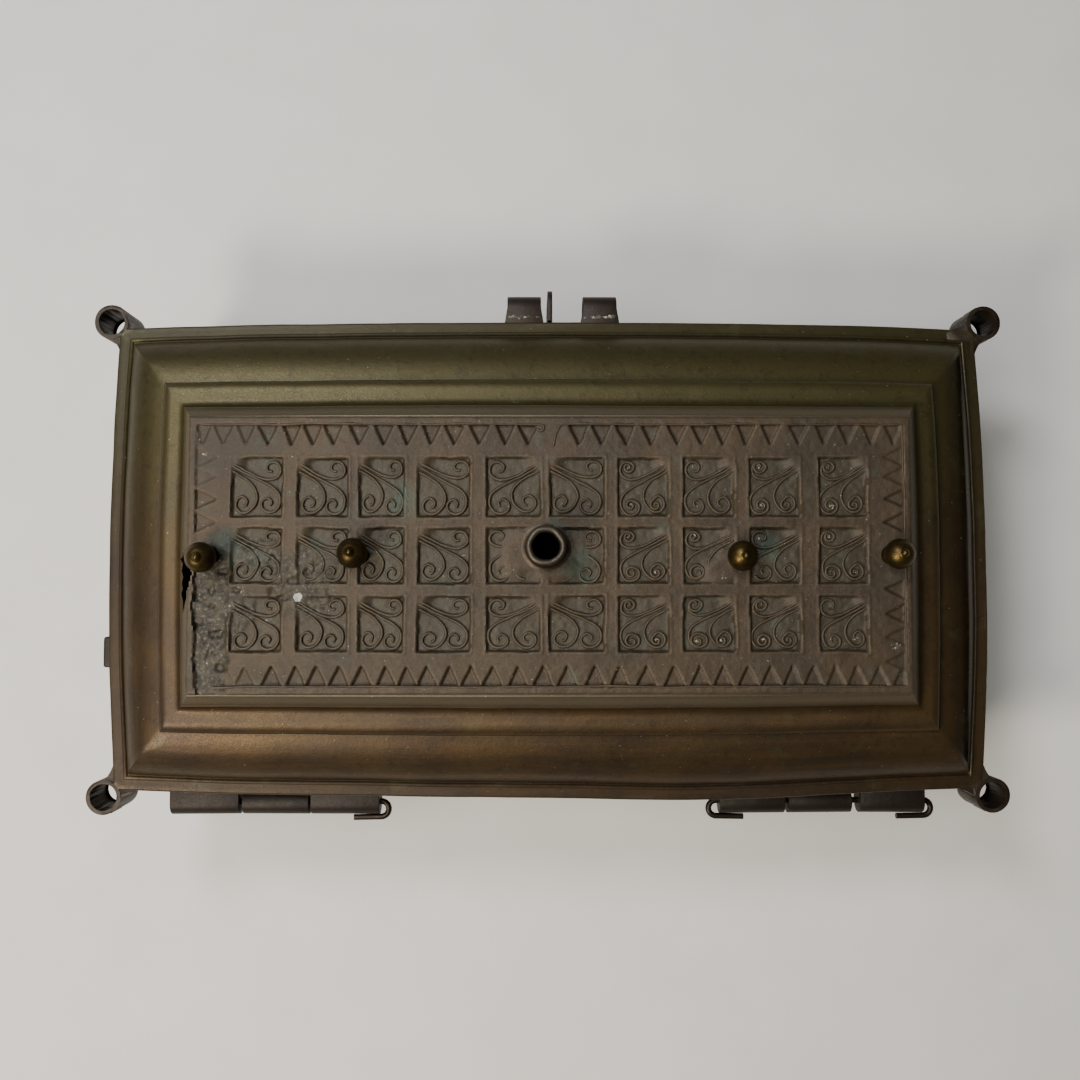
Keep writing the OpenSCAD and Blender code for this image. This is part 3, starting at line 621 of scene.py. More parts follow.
def reliefHeight(x, y):
    wobX = x + panel["wobble"] * (cloud(x, y, 8, 11) + 0.5 * cloud(x, y, 2.5, 12))
    wobY = y + panel["wobble"] * (cloud(x, y, 8, 13) + 0.5 * cloud(x, y, 2.5, 14))
    inside = np.full(x.shape, -9.0)
    fill = np.zeros(x.shape)
    for p in pockets:
        near = (abs(x - p["x"]) < p["w"] + 2) & (abs(y - p["y"]) < p["h"] + 2)
        px, py = (wobX[near] - p["x"]) * p["side"], wobY[near] - p["y"]
        depth = np.minimum(p["w"] - abs(px), p["h"] - abs(py))
        inside[near] = np.maximum(inside[near], depth)
        u, v = (px + p["w"]) / (2 * p["w"]), (p["h"] - py) / (2 * p["h"])
        root = 1 - smoothStep(0.12, 0.5, u + v * 0.9 + 0.35 * abs(u - v * 0.9))
        fill[near] = np.maximum(fill[near], root * (depth > -0.4))
    toothX, toothY = halfX - panel["border"], halfY - panel["border"]
    half, long = panel["toothHalf"], panel["toothLength"]

    def teeth(run, reach, tips):  # run along the edge, reach in from its border
        tips = np.array(tips)
        away = abs(run - tips[np.searchsorted((tips[1:] + tips[:-1]) / 2, run)])
        return np.minimum(half - away - reach * half / long, reach)

    rows = np.where(y > 0, teeth(wobX, toothY - wobY, panel["topTips"]),
                    teeth(wobX, toothY + wobY, panel["bottomTips"]))
    rows[(abs(wobX) > toothX - 0.8) | (abs(y) < toothY - long - 1)] = -9
    sides = teeth(wobY, toothX - abs(wobX), panel["sideTips"])
    sides[abs(x) < toothX - long - 1] = -9
    worn = 1 - (0.5 * smoothStep(50, 95, x) + 0.6 * smoothStep(-80, -95, x)) * (abs(y) > 20)
    floor = smoothStep(-0.12, 0.3, inside) * (1 - fill)
    notch = smoothStep(-0.1, 0.28, np.maximum(rows, sides)) * (0.85 * worn) * np.where(sides > -1, 0.7, 1)
    height = -panel["depth"] * np.maximum(floor, notch)
    height += 0.14 * smoothStep(-1.0, -0.6, inside) * (1 - smoothStep(-0.45, -0.1, inside))
    edge = np.minimum(halfX - abs(x), halfY - abs(y))
    height += 0.22 * smoothStep(panel["border"] + 0.3, panel["border"] - 0.3, edge)
    height -= 0.5 * (1 - smoothStep(0, 0.9, edge)) ** 2
    for cx, cy, rx, ry in panel["smears"]:
        ragged = 1.3 * cloud(x, y, 6, 31)
        smear = 1 - smoothStep(0.45, 1.1, np.hypot((x - cx) / rx, (y - cy) / ry) + 0.15 * ragged)
        height = height * (1 - smear) + smear * (-0.12 + 0.1 * cloud(x, y, 3, 32))
        floor = floor * (1 - smear)
    skin = 0.09 * cloud(x, y, 5, 41) + 0.05 * cloud(x, y, 1.6, 42) + 0.035 * cloud(x, y, 0.8, 43)
    height += skin * (1 + 0.8 * floor)
    crust = crustAt(x, y)
    rough = -0.15 + 0.26 * cloud(x, y, 3.4, 51) + 0.24 * cloud(x, y, 1.5, 52) + 0.15 * cloud(x, y, 0.9, 53)
    rough -= 0.9 * smoothStep(0.35, 0.7, cloud(x, y, 2.6, 54))
    rough -= 0.7 * (1 - smoothStep(-98.5, -94.5, x + 0.5 * cloud(x, y, 3, 55))) * (1 - smoothStep(-3, 6, y))
    height = height * (1 - crust) + crust * np.minimum(rough + 0.35 * height, 0.25)
    return np.clip(height, -1.8, 0.5), crust, floor * (1 - crust)


def nearest(x, y, spots):  # 1 at the middle of each spot, 0 beyond its reach
    found = np.zeros(x.shape)
    for cx, cy, reach in spots:
        away = np.hypot(x - cx, y - cy) / reach + 0.3 * cloud(x, y, 2.5, 24)
        found = np.maximum(found, 1 - smoothStep(0.2, 1, away))
    return found


def inOutline(x, y, outline):
    found = np.zeros(x.shape, bool)
    for (x0, y0), (x1, y1) in zip(outline, outline[1:] + outline[:1]):
        if y0 != y1:
            found ^= ((y0 > y) != (y1 > y)) & (x < (x1 - x0) * (y - y0) / (y1 - y0) + x0)
    return found


deselect()
across, along = round(2 * halfY / panel["cell"]), round(2 * halfX / panel["cell"])
bpy.ops.mesh.primitive_grid_add(x_subdivisions=along, y_subdivisions=across, size=2,
                                location=(0, 0, panelZ))
reliefPanel = bpy.context.object
reliefPanel.name = reliefPanel.data.name = "reliefPanel"
reliefPanel.scale = (halfX * mm, halfY * mm, 1)
settle(reliefPanel)
co = points(reliefPanel)
x, y = co[:, 0] / mm, co[:, 1] / mm
height, crust, floor = reliefHeight(x, y)
co[:, 2] = panelZ + height * mm
setPoints(reliefPanel, co)
eyes = [(p["x"] + p["side"] * (u - 0.5) * 2 * p["w"], p["y"] + (v - 0.5) * 2 * p["h"], 1.5)
        for p in pockets if p["column"] > 5 for k, (u, v) in enumerate(panel["eyes"])
        if (p["column"] * 3 + p["row"] * 5 + k) % 3]
mark(reliefPanel, crust=crust, deep=floor,
     lime=np.maximum(nearest(x, y, (*panel["lime"], *eyes)), 4 * nearest(x, y, panel["pearl"])),
     verdigris=nearest(x, y, panel["verdigris"]))
bpy.ops.object.mode_set(mode="EDIT")
bm = bmesh.from_edit_mesh(reliefPanel.data)
bpy.ops.mesh.select_mode(type="FACE")
bpy.ops.mesh.select_all(action="DESELECT")
middle = np.array([f.calc_center_median()[:2] for f in bm.faces])
gone = inOutline(middle[:, 0], middle[:, 1], crackOutline)
gone |= np.hypot(middle[:, 0] - mouthX, middle[:, 1] - mouthY) < 5 * mm
for f, out in zip(bm.faces, gone):
    f.select_set(bool(out))
bmesh.update_edit_mesh(reliefPanel.data)
bpy.ops.mesh.delete(type="FACE")
bpy.ops.mesh.select_mode(type="EDGE")
bpy.ops.mesh.select_all(action="SELECT")
bpy.ops.mesh.region_to_loop()
bpy.ops.mesh.extrude_edges_indiv()
bm = bmesh.from_edit_mesh(reliefPanel.data)
for v in bm.verts:
    if v.select:
        v.co.z = panelLow.z - 0.2 * mm
bmesh.update_edit_mesh(reliefPanel.data)
bpy.ops.mesh.fill(use_beauty=False)
bpy.ops.object.mode_set(mode="OBJECT")
outward(reliefPanel, 0.001 * mm)
done(reliefPanel, "lid", "panel_bronze", metal["reliefBronze"], "relief_panel", angle=60)
print("relief panel cast:", len(reliefPanel.data.polygons), "faces")


# scrollwork: wax threads laid in each pocket, three stems that end in curls

scrolls = {
    "thread": 0.47,  # radius of a thread, mm
    "rise": 0.35,  # how far a thread's middle stands above the pocket's floor, mm
    "bare": ((-1.5, 0.5, 13.5, 10), (56, -3, 6.5, 7)),  # where smears hide the threads: x, y and half sizes
    "stems": (  # each stem through its pocket, in shares of the pocket's width and height
        ((0.05, 0.90), (0.21, 0.82), (0.50, 0.69), (0.75, 0.645), (0.92, 0.71), (0.955, 0.82), (0.89, 0.92),
         (0.77, 0.935), (0.685, 0.87), (0.71, 0.79), (0.79, 0.78)),
        ((0.02, 0.855), (0.25, 0.74), (0.50, 0.63), (0.785, 0.50), (0.93, 0.37), (0.945, 0.21),
         (0.857, 0.085), (0.714, 0.06), (0.60, 0.13), (0.595, 0.24), (0.70, 0.305), (0.785, 0.24),
         (0.75, 0.175)),
        ((0.02, 0.775), (0.16, 0.71), (0.34, 0.613), (0.48, 0.468), (0.515, 0.323), (0.446, 0.177),
         (0.32, 0.085), (0.18, 0.085), (0.085, 0.177), (0.105, 0.29), (0.21, 0.35), (0.31, 0.285),
         (0.285, 0.20), (0.23, 0.185)),
    ),
}


def smoothPath(spots, steps=6):  # a soft curve through the spots
    spots = [spots[0], *spots, spots[-1]]
    path = []
    for a, b, c, d in zip(spots, spots[1:], spots[2:], spots[3:]):
        for k in range(steps):
            t = k / steps
            path.append(tuple(0.5 * (2 * q + (r - p) * t + (2 * p - 5 * q + 4 * r - s) * t * t
                                     + (3 * q - p - 3 * r + s) * t ** 3)
                              for p, q, r, s in zip(a, b, c, d)))
    return path + [spots[-1]]


chance = np.random.default_rng(7)


def stemPath(pocket, number, tight):
    w, h = 2 * pocket["w"], 2 * pocket["h"]
    moved = chance.normal(0, 0.018, 2)
    spots = [(u + moved[0] * min(1, 2 * u), v + moved[1] * min(1, 2 * (1 - v)))
             for u, v in scrolls["stems"][number]]
    if tight:  # the curl winds on round its eye
        eyeU, eyeV = panel["eyes"][number]
        spots = spots[:-2]
        du, dv = (spots[-1][0] - eyeU) * w, (spots[-1][1] - eyeV) * h
        reach, last, way = math.hypot(du, dv), math.atan2(dv, du), 1 if number == 0 else -1
        spots += [(eyeU + reach * (1 - 0.9 * t) * math.cos(last + way * 8 * t) / w,
                   eyeV + reach * (1 - 0.9 * t) * math.sin(last + way * 8 * t) / h)
                  for t in np.linspace(0, 1, 15)[1:]]
    path = smoothPath(spots, 4)
    result = []
    for k, (u, v) in enumerate(path):
        x = pocket["x"] + pocket["side"] * (u - 0.5) * w
        y = pocket["y"] + (v - 0.5) * h
        out = min(1, (u + (1 - v)) / 0.7)  # a stem leaves the corner at the level of the bars
        z = (scrolls["rise"] - panel["depth"]) * out - 0.18 * (1 - out)
        result.append((x, y, z, 0.78 + 0.28 * math.sin(math.pi * min(1, 1.15 * k / len(path)))))
    return result


paths = []
for pocket in pockets:
    tight = pocket["column"] >= 6 and (pocket["column"] + pocket["row"]) % 4 != 1
    for number in range(3):
        path = stemPath(pocket, number, tight)
        xs, ys = np.array([p[0] for p in path]), np.array([p[1] for p in path])
        keep = crustAt(xs, ys) < 0.8
        for cx, cy, rx, ry in scrolls["bare"]:
            keep &= np.hypot((xs - cx) / rx, (ys - cy) / ry) > 0.9
        run = []
        for (x, y, z, thin), kept in zip(path + [path[-1]], list(keep) + [False]):
            if kept:
                run.append((x * mm, y * mm, panelZ + z * mm, thin))
                continue
            if len(run) > 5:
                paths.append(run)
            run = []
scrollwork = wire("scrollwork", paths, scrolls["thread"] * mm, sides=1)
co = points(scrollwork)
x, y = co[:, 0] / mm, co[:, 1] / mm
co[:, 0] += 0.10 * mm * cloud(x, y, 2.2, 61)
co[:, 1] += 0.10 * mm * cloud(x, y, 2.2, 62)
co[:, 2] += 0.08 * mm * cloud(x, y, 1.8, 63)
setPoints(scrollwork, co)
mark(scrollwork, deep=np.full(len(x), 0.3), lime=nearest(x, y, (*panel["lime"], *eyes)),
     verdigris=nearest(x, y, panel["verdigris"]), crust=crustAt(x, y))
done(scrollwork, "lid", "panel_bronze", metal["reliefBronze"], angle=80, wear=0.6)

borderBead = {"radius": 0.42}  # thin beads along the inner edge of the border
edgeX, edgeY = halfX - panel["border"], halfY - panel["border"]
beads = [
    [(x, edgeY) for x in np.linspace(-edgeX + 2, -3.2, 60)]
    + [(-3.2 + math.sin(t), edgeY - 1 + math.cos(t)) for t in np.linspace(0.3, 4.4, 9)],
    [(0.7, edgeY - 6.5), (1.3, edgeY - 3), (2.4, edgeY - 0.8)]
    + [(x, edgeY) for x in np.linspace(3.4, edgeX, 55)]
    + [(edgeX, y) for y in np.linspace(edgeY - 2, -edgeY + 2, 40)],
    [(x, -edgeY) for x in np.linspace(-edgeX + 6, edgeX, 90)],
]
beadPaths = []
for bead in beads:
    bx, by = np.array(bead).T
    bx, by = bx + 0.3 * cloud(bx, by, 9, 65), by + 0.3 * cloud(bx, by, 9, 66)
    beadPaths.append([(x * mm, y * mm, panelZ + 0.1 * c * mm, 0.9 + 0.3 * c)
                      for x, y, c in zip(bx, by, cloud(bx, by, 4, 67))])
borderBeads = wire("borderBeads", beadPaths, borderBead["radius"] * mm, sides=1)
done(borderBeads, "lid", "panel_bronze", metal["reliefBronze"], angle=80, wear=0.5)
print("scrollwork laid:", len(scrollwork.data.polygons), "faces")


# ball knobs, turned, each a little different

def swept(a, b, radius, start, end, steps, tall=1):
    # points on an arc round (a, b), from the start angle to the end angle, in degrees
    return [(a + radius * math.cos(t), b + radius * tall * math.sin(t))
            for t in np.radians(np.linspace(start, end, steps))]


def levels(z, pairs):  # a part of a profile, from radii and heights in mm above z
    return [(r * mm, z + h * mm) for r, h in pairs]


knob = {
    "ball": 4.5, "neckHeight": 2.0, "bud": 0.65,
    "rivet": ((0, 0), (1.4, 0), (2.2, 0.35), (2.25, 0.7), (1.5, 0.8)),  # above the shank's lower end
    "neck": ((1.5, -0.6), (3.0, -0.6), (2.9, 0.2), (2.5, 0.6), (2.3, 1.2)),  # above the panel's face
    "point": ((0.27, 0.17), (0.235, 0.4), (0.19, 0.64), (0.13, 0.83), (0.06, 0.96), (0, 1)),
    "places": (-102.0, -57.5, 57.5, 102.0), "leans": ((0, 2), (-2, 3), (2, -2), (1, -3)),
    "strays": ((-1.0, -0.9), (-0.8, 0), (-1.3, -0.6), (0.6, -0.3)),  # how far each ball is off its shank, mm
}
knobLow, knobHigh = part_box("ball_knobs")
ballZ = panelZ + (knob["neckHeight"] + knob["ball"] * 0.85) * mm
ball = knob["ball"] * mm
profile = levels(knobLow.z, knob["rivet"]) + levels(panelZ, knob["neck"])
profile += swept(0, ballZ, ball, -58, 72, 24, 0.96)
bud = (knobHigh.z - ballZ - ball * 0.913) * knob["bud"]
profile += [(ball * r, ballZ + ball * 0.913 + bud * h) for r, h in knob["point"]]
first = turned("ballKnob", profile, (0, 0), 48)
knobs = []
for k, (place, (leanX, leanY), stray) in enumerate(zip(knob["places"], knob["leans"], knob["strays"])):
    twin = ownCopy(first, "ballKnob")
    co = points(twin)
    x, y, z = co.T / mm
    co[:, :2] *= 1 + 0.012 * (cloud(x + 20 * k, y + z, 3, 71) * (z > panelZ / mm + 1))[:, None]
    turn = np.array(Euler((math.radians(leanX), math.radians(leanY), k * 1.3)).to_matrix())
    foot = np.array([0, 0, panelZ])
    co = (co - foot) @ turn.T + foot + np.array([place * mm, 0, 0])
    co[:, :2] += np.array(stray) * mm * smoothStep(panelZ - 0.5 * mm, panelZ + 1.5 * mm, co[:, 2:3])
    setPoints(twin, co)
    knobs.append(twin)
bpy.data.objects.remove(first)
ballKnobs = joined("ballKnobs", knobs)
# painted shade: each knob darkens towards its foot
mark(ballKnobs, deep=1 - smoothStep(panelZ + 1.5 * mm, ballZ + 1.5 * mm, points(ballKnobs)[:, 2]))
done(ballKnobs, "lid", "knob_brass", metal["knobBrass"], "ball_knobs", wear=0.9)
print("knobs turned")


# ink mouth: a tube with a rolled edge and a soldered foot

mouth = {
    "outer": 5.45, "bore": 4.15, "edge": 0.98,
    "foot": ((5.45, -0.8), (7.3, -0.8), (7.3, 0), (6.4, 0.2), (5.95, 0.6), (5.6, 1.2), (5.45, 2.2)),
}
top, edge = mouthHigh.z, mouth["edge"] * mm
outer, bore = mouth["outer"] * mm, mouth["bore"] * mm
middleR = (outer + bore) / 2 + 0.12 * mm
profile = [(bore, mouthLow.z), (outer, mouthLow.z), *levels(panelZ, mouth["foot"]),
           (outer - 0.05 * mm, top - 3.2 * mm)]
profile += swept(middleR, top - edge, edge, -60, 200, 16) + [(bore, top - 2.6 * mm), profile[0]]
inkMouth = turned("inkMouth", profile, (mouthX, mouthY), 72)
co = points(inkMouth)
a = np.arctan2(co[:, 1] - mouthY, co[:, 0] - mouthX)
up = smoothStep(panelZ, top, co[:, 2])
swell = 0.12 * mm * up * cloud(3 * np.cos(a), 3 * np.sin(a) + co[:, 2] / mm / 4, 1.2, 81)
co[:, :2] += swell[:, None] * np.stack([np.cos(a), np.sin(a)], 1)
setPoints(inkMouth, co)
mark(inkMouth, deep=1.2 * (1 - smoothStep(panelZ + mm, panelZ + 5 * mm, points(inkMouth)[:, 2])))
done(inkMouth, "lid", "mouth_brass", metal["mouthBrass"], "ink_mouth", wear=0.8)


# pen tubes: one is made for a corner and mirrored to the others

def concave(a, b, pull, steps=8):  # a curve from a to b, pulled towards a third point
    return [tuple((1 - t) ** 2 * a[i] + 2 * t * (1 - t) * pull[i] + t * t * b[i] for i in (0, 1))
            for t in np.linspace(0, 1, steps)]


reach, outX, outY = penTube["reach"] * mm, tubeX - rimX, tubeY - rimY
bore, flank, inX, inY = penTube["bore"] * mm, tubeR * 0.93, outX + 3.5 * mm, outY + 3.5 * mm
webOutline = (concave((-reach, -outY - 0.4 * mm), (-tubeR * 0.45, flank), (-tubeR * 0.75, -outY + 1.2 * mm))
              + concave((flank, -tubeR * 0.45), (-outX - 0.4 * mm, -reach), (-outX + 1.2 * mm, -tubeR * 0.75))
              + [(-inX, -reach), (-inX, -inY), (-reach, -inY)])
web = slab("web", [(tubeX + a, tubeY + b) for a, b in webOutline],
           rimZ - penTube["webHeight"] * mm, rimZ - 0.25 * mm)
tube = rod("penTube", tubeX, tubeY, skirtZ, rimZ, tubeR, 72)
cut(tube, web, "UNION")
cut(tube, rod("bore", tubeX, tubeY, skirtZ - mm, rimZ + mm, bore, 72))
rounded(tube, penTube["lip"] * mm, 3, 50)
corners = (("Front", "Right", 1, 1), ("Front", "Left", -1, 1),
           ("Back", "Right", 1, -1), ("Back", "Left", -1, -1))
for k, (end, side, sx, sy) in enumerate(corners):
    twin = ownCopy(tube, "penTube" + end + side)
    co = points(twin) * (sx, sy, 1)
    x, y, z = co.T / mm
    co[:, 0] += 0.12 * mm * cloud(y + z, x, 5, 90 + k)
    co[:, 1] += 0.12 * mm * cloud(x + z, y, 5, 94 + k)
    co[:, 2] += 0.15 * mm * cloud(x, y, 6, 98 + k) * (z > rimZ / mm - 3)
    setPoints(twin, co)
    outward(twin)
    co = points(twin)
    # painted shade: the bore's inner wall is darkened below the top
    within = np.hypot(co[:, 0] - sx * tubeX, co[:, 1] - sy * tubeY) < bore + 0.25 * mm
    within &= co[:, 2] < rimZ - 0.6 * mm
    mark(twin, deep=1.2 * within)
    node = f"pen_tube_{end.lower()}_{side.lower()}"
    done(twin, "lid", "lid_bronze", metal["tubeBronze"], node, wear=0.8)
bpy.data.objects.remove(tube)
print("mouth and pen tubes made")


# hinges: strip rolled round a wire; each hinge has two knuckles on the lid and one on the casing

hinge = {
    "knuckle": 4.0, "length": 22.6, "gap": 0.5, "wire": 1.0, "bore": 1.03,
    "plate": 2.6, "round": 1.1, "hook": 2.575, "leg": 9.0,
    # where each knuckle of the right and of the left hinge starts in its place, and its length
    "right": ((0.6, 21.6), (0.3, 20.9), (0.9, 21.3)), "left": ((0, 22.6), (0.2, 21.8), (0, 22.6)),
}
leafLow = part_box("right_hinge_lid_leaf")[0]
knuckleR = hinge["knuckle"] * mm
hingeX, hingeY, hingeZ = leafLow.x, leafLow.y + knuckleR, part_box("casing")[1].z
step = (hinge["length"] + hinge["gap"]) * mm  # from one knuckle to the next


def standing(a, b, c):  # an outline in Y and Z pushed along X
    return (c, a, b)


def wallAt(x):  # the outer face of the back wall, which bows
    return -rimY - plan["bow"] * (1 - (x / rimX) ** 2)


def rolledKnuckle(name, side, index, up):
    # a strip that runs back to the wall and is rolled over the wire, with its end showing as a seam
    r, (start, long) = knuckleR, hinge[side][index]
    x, long = hingeX + index * step + start * mm, long * mm
    wall = wallAt(x + long / 2) + 0.5 * mm
    curl = swept(hingeY, hingeZ, r, 90, 362, 34, up)
    end = hingeY + r - hinge["plate"] * mm * 0.55
    seam = [(end + 0.3 * mm, hingeZ + up * 0.25 * mm), (end + 0.35 * mm, hingeZ + up * 0.5 * mm)]
    outline = [(wall, hingeZ + up * r)] + curl + seam + [(wall, hingeZ + up * (r - hinge["plate"] * mm))]
    piece = slab(name, outline, x, x + long, standing)
    rounded(piece, hinge["round"] * mm, 3, 60)
    cut(piece, crossRod((x + long / 2, hingeY, hingeZ), hinge["bore"] * mm, 30 * mm, 32))
    co = points(piece)
    px, py, pz = co.T / mm
    outer = smoothStep(1.6, 2.8, np.hypot(py - hingeY / mm, pz - hingeZ / mm)) * (py < wall / mm - 1)
    co[:, 1] += 0.12 * mm * cloud(px, pz, 7, 110) * outer
    co[:, 2] += 0.12 * mm * cloud(px, py, 7, 111) * outer
    setPoints(piece, co)
    return piece


for side in ("right", "left"):
    lidLeaf = joined(side + "HingeLidLeaf", [rolledKnuckle("knuckle", side, k, 1) for k in (0, 2)])
    casingLeaf = rolledKnuckle(side + "HingeCasingLeaf", side, 1, -1)
    for piece, body, node in ((lidLeaf, "lid", "_hinge_lid_leaf"),
                              (casingLeaf, "box", "_hinge_casing_leaf")):
        if side == "left":
            setPoints(piece, points(piece) * (-1, 1, 1))
            outward(piece)
        done(piece, body, "hinge_bronze", metal["hingeBronze"], side + node, angle=50, wear=0.6)


def hookPath(x, way):  # from the knuckle's end the wire turns back on itself beside it
    r, leg = hinge["hook"] * mm, hinge["leg"] * mm
    bend = [(a, b, hingeZ) for a, b in swept(x, hingeY - r, r, 90, 90 - way * 180, 14)]
    return bend + [(x - way * leg * k, hingeY - 2 * r - 0.15 * mm * k, hingeZ) for k in (0.3, 0.6, 0.85, 1)]


pinStart = hingeX - 0.2 * mm
pinEnd = hingeX + 3 * step - (hinge["gap"] - 0.2) * mm
straight = [(x, hingeY, hingeZ) for x in np.linspace(pinStart, pinEnd, 12)]
oneHook = hookPath(pinStart, -1)[::-1] + straight[1:]  # the left wire is bent at its inner end only
for side, path in (("right", oneHook[:-1] + hookPath(pinEnd, 1)),
                   ("left", [(-x, y, z) for x, y, z in oneHook])):
    pin = wire(side + "HingePin", [path], hinge["wire"] * mm, sides=3)
    done(pin, "lid", "hinge_wire", metal["hingeWire"], side + "_hinge_pin", angle=60, wear=0.5)
print("hinges rolled")


# clasp: two loops of strip on the lid, and a staple on the casing that stands between them

clasp = {"loop": 4.6, "bore": 2.6, "strip": 2.0, "flare": 0.8, "solder": 0.75}
flare, r, hole = (clasp[k] * mm for k in ("flare", "loop", "bore"))
for side in ("left", "right"):
    name, node = side + "ClaspLoop", side + "_clasp_loop"
    low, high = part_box(node)
    x0, x1 = low.x + flare, high.x - flare
    cy, cz = high.y - r, low.z + r
    wall = -wallAt((x0 + x1) / 2) - 0.5 * mm
    outline = [(wall, cz + r)] + swept(cy, cz, r, 90, -204, 38) + [(wall, cz + r - clasp["strip"] * mm)]
    loop = slab(name, outline, x0, x1, standing)
    cut(loop, crossRod((x0, cy, cz), hole, 40 * mm))
    rounded(loop, 0.3 * mm, 2, 50)
    applied(loop, "TRIANGULATE")
    co = points(loop)
    px, py, pz = co.T / mm
    root = 1 - smoothStep(wall / mm + 0.4, wall / mm + 2.4, py)
    centre = (x0 + x1) / 2 / mm
    co[:, 0] += np.sign(px - centre) * flare * root
    setPoints(loop, co)
    # a rough bead of solder along the root
    bead = [(x, -wallAt(x) + 1.5 * mm, cz + r - 0.3 * mm, 0.8 + 0.35 * cloud(x / mm, 0, 1.5, 121))
            for x in np.linspace(low.x + 1.1 * mm, high.x - 1.1 * mm, 26)]
    solder = wire("solder", [bead], clasp["solder"] * mm, sides=2)
    co = points(solder)
    co[:, 1] += 0.25 * mm * cloud(co[:, 0] / mm, co[:, 2] / mm, 1.1, 122)
    co[:, 2] += 0.2 * mm * cloud(co[:, 0] / mm, co[:, 1] / mm, 0.9, 123)
    co[:, 2] = np.minimum(co[:, 2], rimZ + 0.2 * mm)
    setPoints(solder, co)
    mark(solder, crust=np.ones(len(co)))
    done(joined(name, [loop, solder]), "lid", "hinge_bronze", metal["hingeBronze"], node, angle=50, wear=0.6)

low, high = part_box("clasp_staple")
corner = (high.y + wallAt(0)) * 0.4
outline = [(low.y, low.z), (high.y - corner, low.z), (high.y - 0.3 * mm, low.z + corner * 1.2)]
outline += swept(high.y - corner, high.z - corner, corner, 0, 90, 12) + [(-wallAt(0) + 0.45 * mm, high.z)]
rootY = -wallAt(0) - 0.4 * mm
outline += [(-wallAt(0) + 0.45 * mm, hingeZ + 0.2 * mm), (rootY, hingeZ)]
outline = [(max(y, rootY), z) for y, z in outline]
staple = slab("claspStaple", outline, low.x, high.x, standing)
cut(staple, crossRod((low.x, cy, cz), hole, 20 * mm))
rounded(staple, 0.25 * mm, 2, 40)
done(staple, "box", "hinge_bronze", metal["hingeBronze"], "clasp_staple", angle=40, wear=0.6)

low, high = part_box("side_lug")
bpy.ops.mesh.primitive_cube_add(size=1, location=((low.x + high.x) / 2 + 0.5 * mm, (low.y + high.y) / 2,
                                                  (low.z + high.z) / 2),
                                scale=(high.x - low.x + mm, high.y - low.y, high.z - low.z))
sideLug = bpy.context.object
sideLug.name = sideLug.data.name = "sideLug"
settle(sideLug)
rounded(sideLug, 0.9 * mm, 4, 30)
applied(sideLug, "SUBSURF", levels=1, render_levels=1)
done(sideLug, "lid", "lid_bronze", metal["hingeBronze"], "side_lug")
print("clasp and lug made")


# casing: plain bowed walls with a soft top edge, on a thin base plate

casing = {"wall": 2.8, "edge": 0.5, "waves": 0.18}
casingLow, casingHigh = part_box("casing")
w, e, bow = casing["wall"] * mm, casing["edge"] * mm, plan["bow"]
heights = np.linspace(casingLow.z, casingHigh.z - e, 7)
rings = [(w, w, bow, z) for z in heights]
rings += [(a, a, bow, casingHigh.z - e * drop)
          for a, drop in ((w - e * 0.4, 0.25), (w - e, 0), (e, 0), (e * 0.3, 0.3))]
rings += [(0, 0, bow, z) for z in heights[::-1]]
walls = ringed("casing", rings, True)
co = points(walls)
x, y, z = co.T / mm
swell = casing["waves"] * mm * smoothStep(casingLow.z, casingLow.z + 10 * mm, co[:, 2]) * (
    1 - 0.8 * smoothStep(casingHigh.z - 8 * mm, casingHigh.z, co[:, 2]))
co[:, 0] += swell * cloud(y, z, 22, 131)
co[:, 1] += swell * cloud(x, z, 22, 132)
setPoints(walls, co)
done(walls, "box", "casing_bronze", metal["casingBronze"], "casing")

base = {
    "ledge": 1.8,  # how far it stands out past the walls
    "edge": ((0.8, 0), (0.25, 0.12), (0, 0.5), (0, 1.5), (0.3, 2.2), (0.9, 2.55), (1.5, 2.6)),
}
rings = [((a - base["ledge"]) * mm, (a - base["ledge"]) * mm, bow, b * mm) for a, b in base["edge"]]
basePlate = ringed("basePlate", rings, False)
done(basePlate, "box", "casing_bronze", metal["casingBronze"], "base_plate")


# ink cup, spun, with a rolled rim

cup = {
    "radius": 22.0, "wall": 2.2, "bead": 1.2,
    # radii and heights above the cup's underside
    "outside": ((0, 0.3), (19, 0.3), (19.6, 0), (21.2, 0), (21.8, 0.3), (22, 1), (22, 9), (21.85, 9.4),
                (22, 9.8)),
    "inside": ((19.8, 5.2), (18.9, 3.1), (16.8, 2.2), (0, 2.3)),
}
cupLow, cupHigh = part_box("ink_cup")
r, wall, top, bottom = cup["radius"] * mm, cup["wall"] * mm, cupHigh.z, cupLow.z
bead = cup["bead"] * mm
profile = levels(bottom, cup["outside"]) + [(r, top - 2.6 * bead)]
profile += swept(r - 0.1 * mm, top - bead, bead, -80, 120, 14)
profile += [(r - wall, top - 1.4 * mm)] + levels(bottom, cup["inside"])
inkCup = turned("inkCup", profile, (mouthX, mouthY), 96)
co = points(inkCup)
stained = np.hypot(co[:, 0] - mouthX, co[:, 1] - mouthY) < r - wall + 0.1 * mm
stained &= (co[:, 2] > bottom + wall - mm) & (co[:, 2] < top - 4 * mm)
mark(inkCup, deep=1.2 * stained)
done(inkCup, "cup", "cup_brass", metal["cupBrass"], "ink_cup")


# plain parts that keep their drawn shape

plain = dict.fromkeys(("locating_strip", "left_divider", "right_divider", "cup_collar"), "casingBronze")
for node, name in {**plain, "mouth_collar": "mouthBrass", "knob_washers": "knobBrass"}.items():
    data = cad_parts[node].data
    if not data.materials:
        data.materials.append(metal[name])
    for k in range(len(data.materials)):
        data.materials[k] = metal[name]
print("casing and cup made")


# floor, camera and light

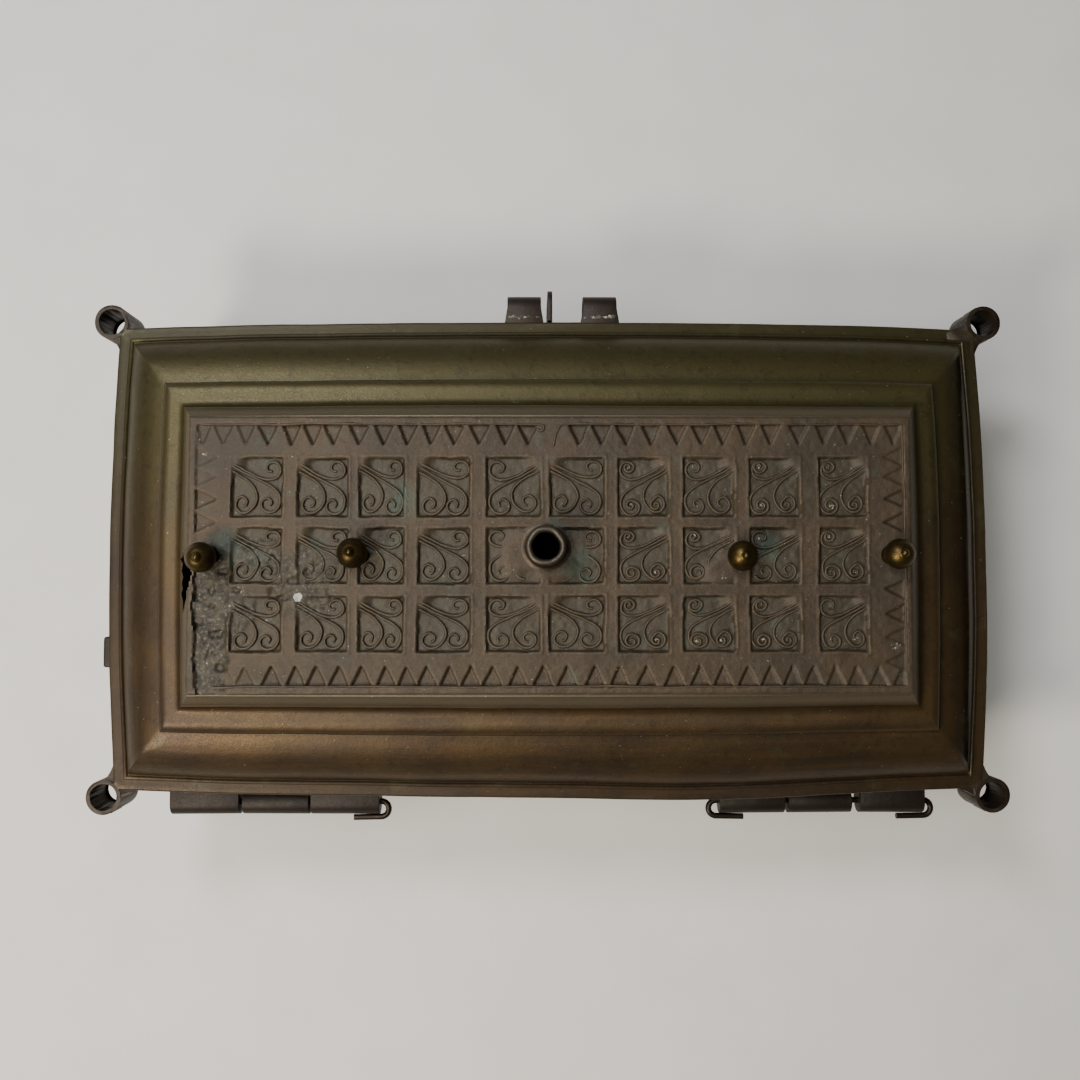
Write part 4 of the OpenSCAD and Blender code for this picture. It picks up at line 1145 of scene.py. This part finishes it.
ground = {"size": 4, "skin": "#dedcd4", "second": "#d2d0c8"}
deselect()
bpy.ops.mesh.primitive_plane_add(size=ground["size"], location=(0, 0, -0.05 * mm))
floorPlane = bpy.context.object
floorPlane.name = "floor"
paper = bpy.data.materials.new("palePaper")  # matt backing paper, faintly mottled
paper.use_nodes = True
tree = paper.node_tree
shader = tree.nodes["Principled BSDF"]
shader.inputs["Roughness"].default_value = 0.85
place = addNode(tree, "TexCoord", {}, "Object")
fibre = addNode(tree, "TexNoise", {"Vector": place, "Scale": 1 / (30 * mm), "Detail": 3})
tone = addNode(tree, "Mix", {0: fibre, 6: ground["skin"], 7: ground["second"]}, 2, data_type="RGBA")
tree.links.new(tone, shader.inputs["Base Color"])
floorPlane.data.materials.append(paper)
floorPlane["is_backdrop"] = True

view = {"place": (-5.7, -9.7, 398.7), "turn": (2.60, -0.46, -0.044), "lens": 34.63}  # mm, degrees, mm
cameraData = bpy.data.cameras.new("camera")
cameraData.lens, cameraData.sensor_width, cameraData.clip_start = view["lens"], 36, 0.01
camera = bpy.data.objects.new("camera", cameraData)
camera.location = [c * mm for c in view["place"]]
camera.rotation_euler = [math.radians(a) for a in view["turn"]]
bpy.context.collection.objects.link(camera)
bpy.context.scene.camera = camera

lamps = (  # name, place in metres, size in metres, watts, colour
    ("window", (-0.42, -0.36, 0.62), 0.22, 5.6, "#fff4e6"),
    ("second", (-0.36, 0.42, 0.80), 0.25, 5.2, "#f6f6ff"),
    ("overhead", (-0.26, 0.0, 0.95), 0.5, 5.0, "#ffffff"),
)
for name, spot, size, watts, tint in lamps:
    lampData = bpy.data.lights.new(name, "AREA")
    lampData.shape, lampData.size, lampData.energy = "DISK", size, watts
    lampData.color = linear(tint)[:3]
    lamp = bpy.data.objects.new(name, lampData)
    lamp.location = spot
    lamp.rotation_euler = (Vector((0, 0, 0.05)) - Vector(spot)).to_track_quat("-Z", "Y").to_euler()
    bpy.context.collection.objects.link(lamp)
world = bpy.data.worlds.new("room")
bpy.context.scene.world = world
world.use_nodes = True
world.node_tree.nodes["Background"].inputs["Color"].default_value = linear("#e6eae6")
world.node_tree.nodes["Background"].inputs["Strength"].default_value = 0.1
print("floor, camera and lamps set")

size = {"cad": [list(c) for c in cadBox], "visual": [list(c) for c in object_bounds()]}
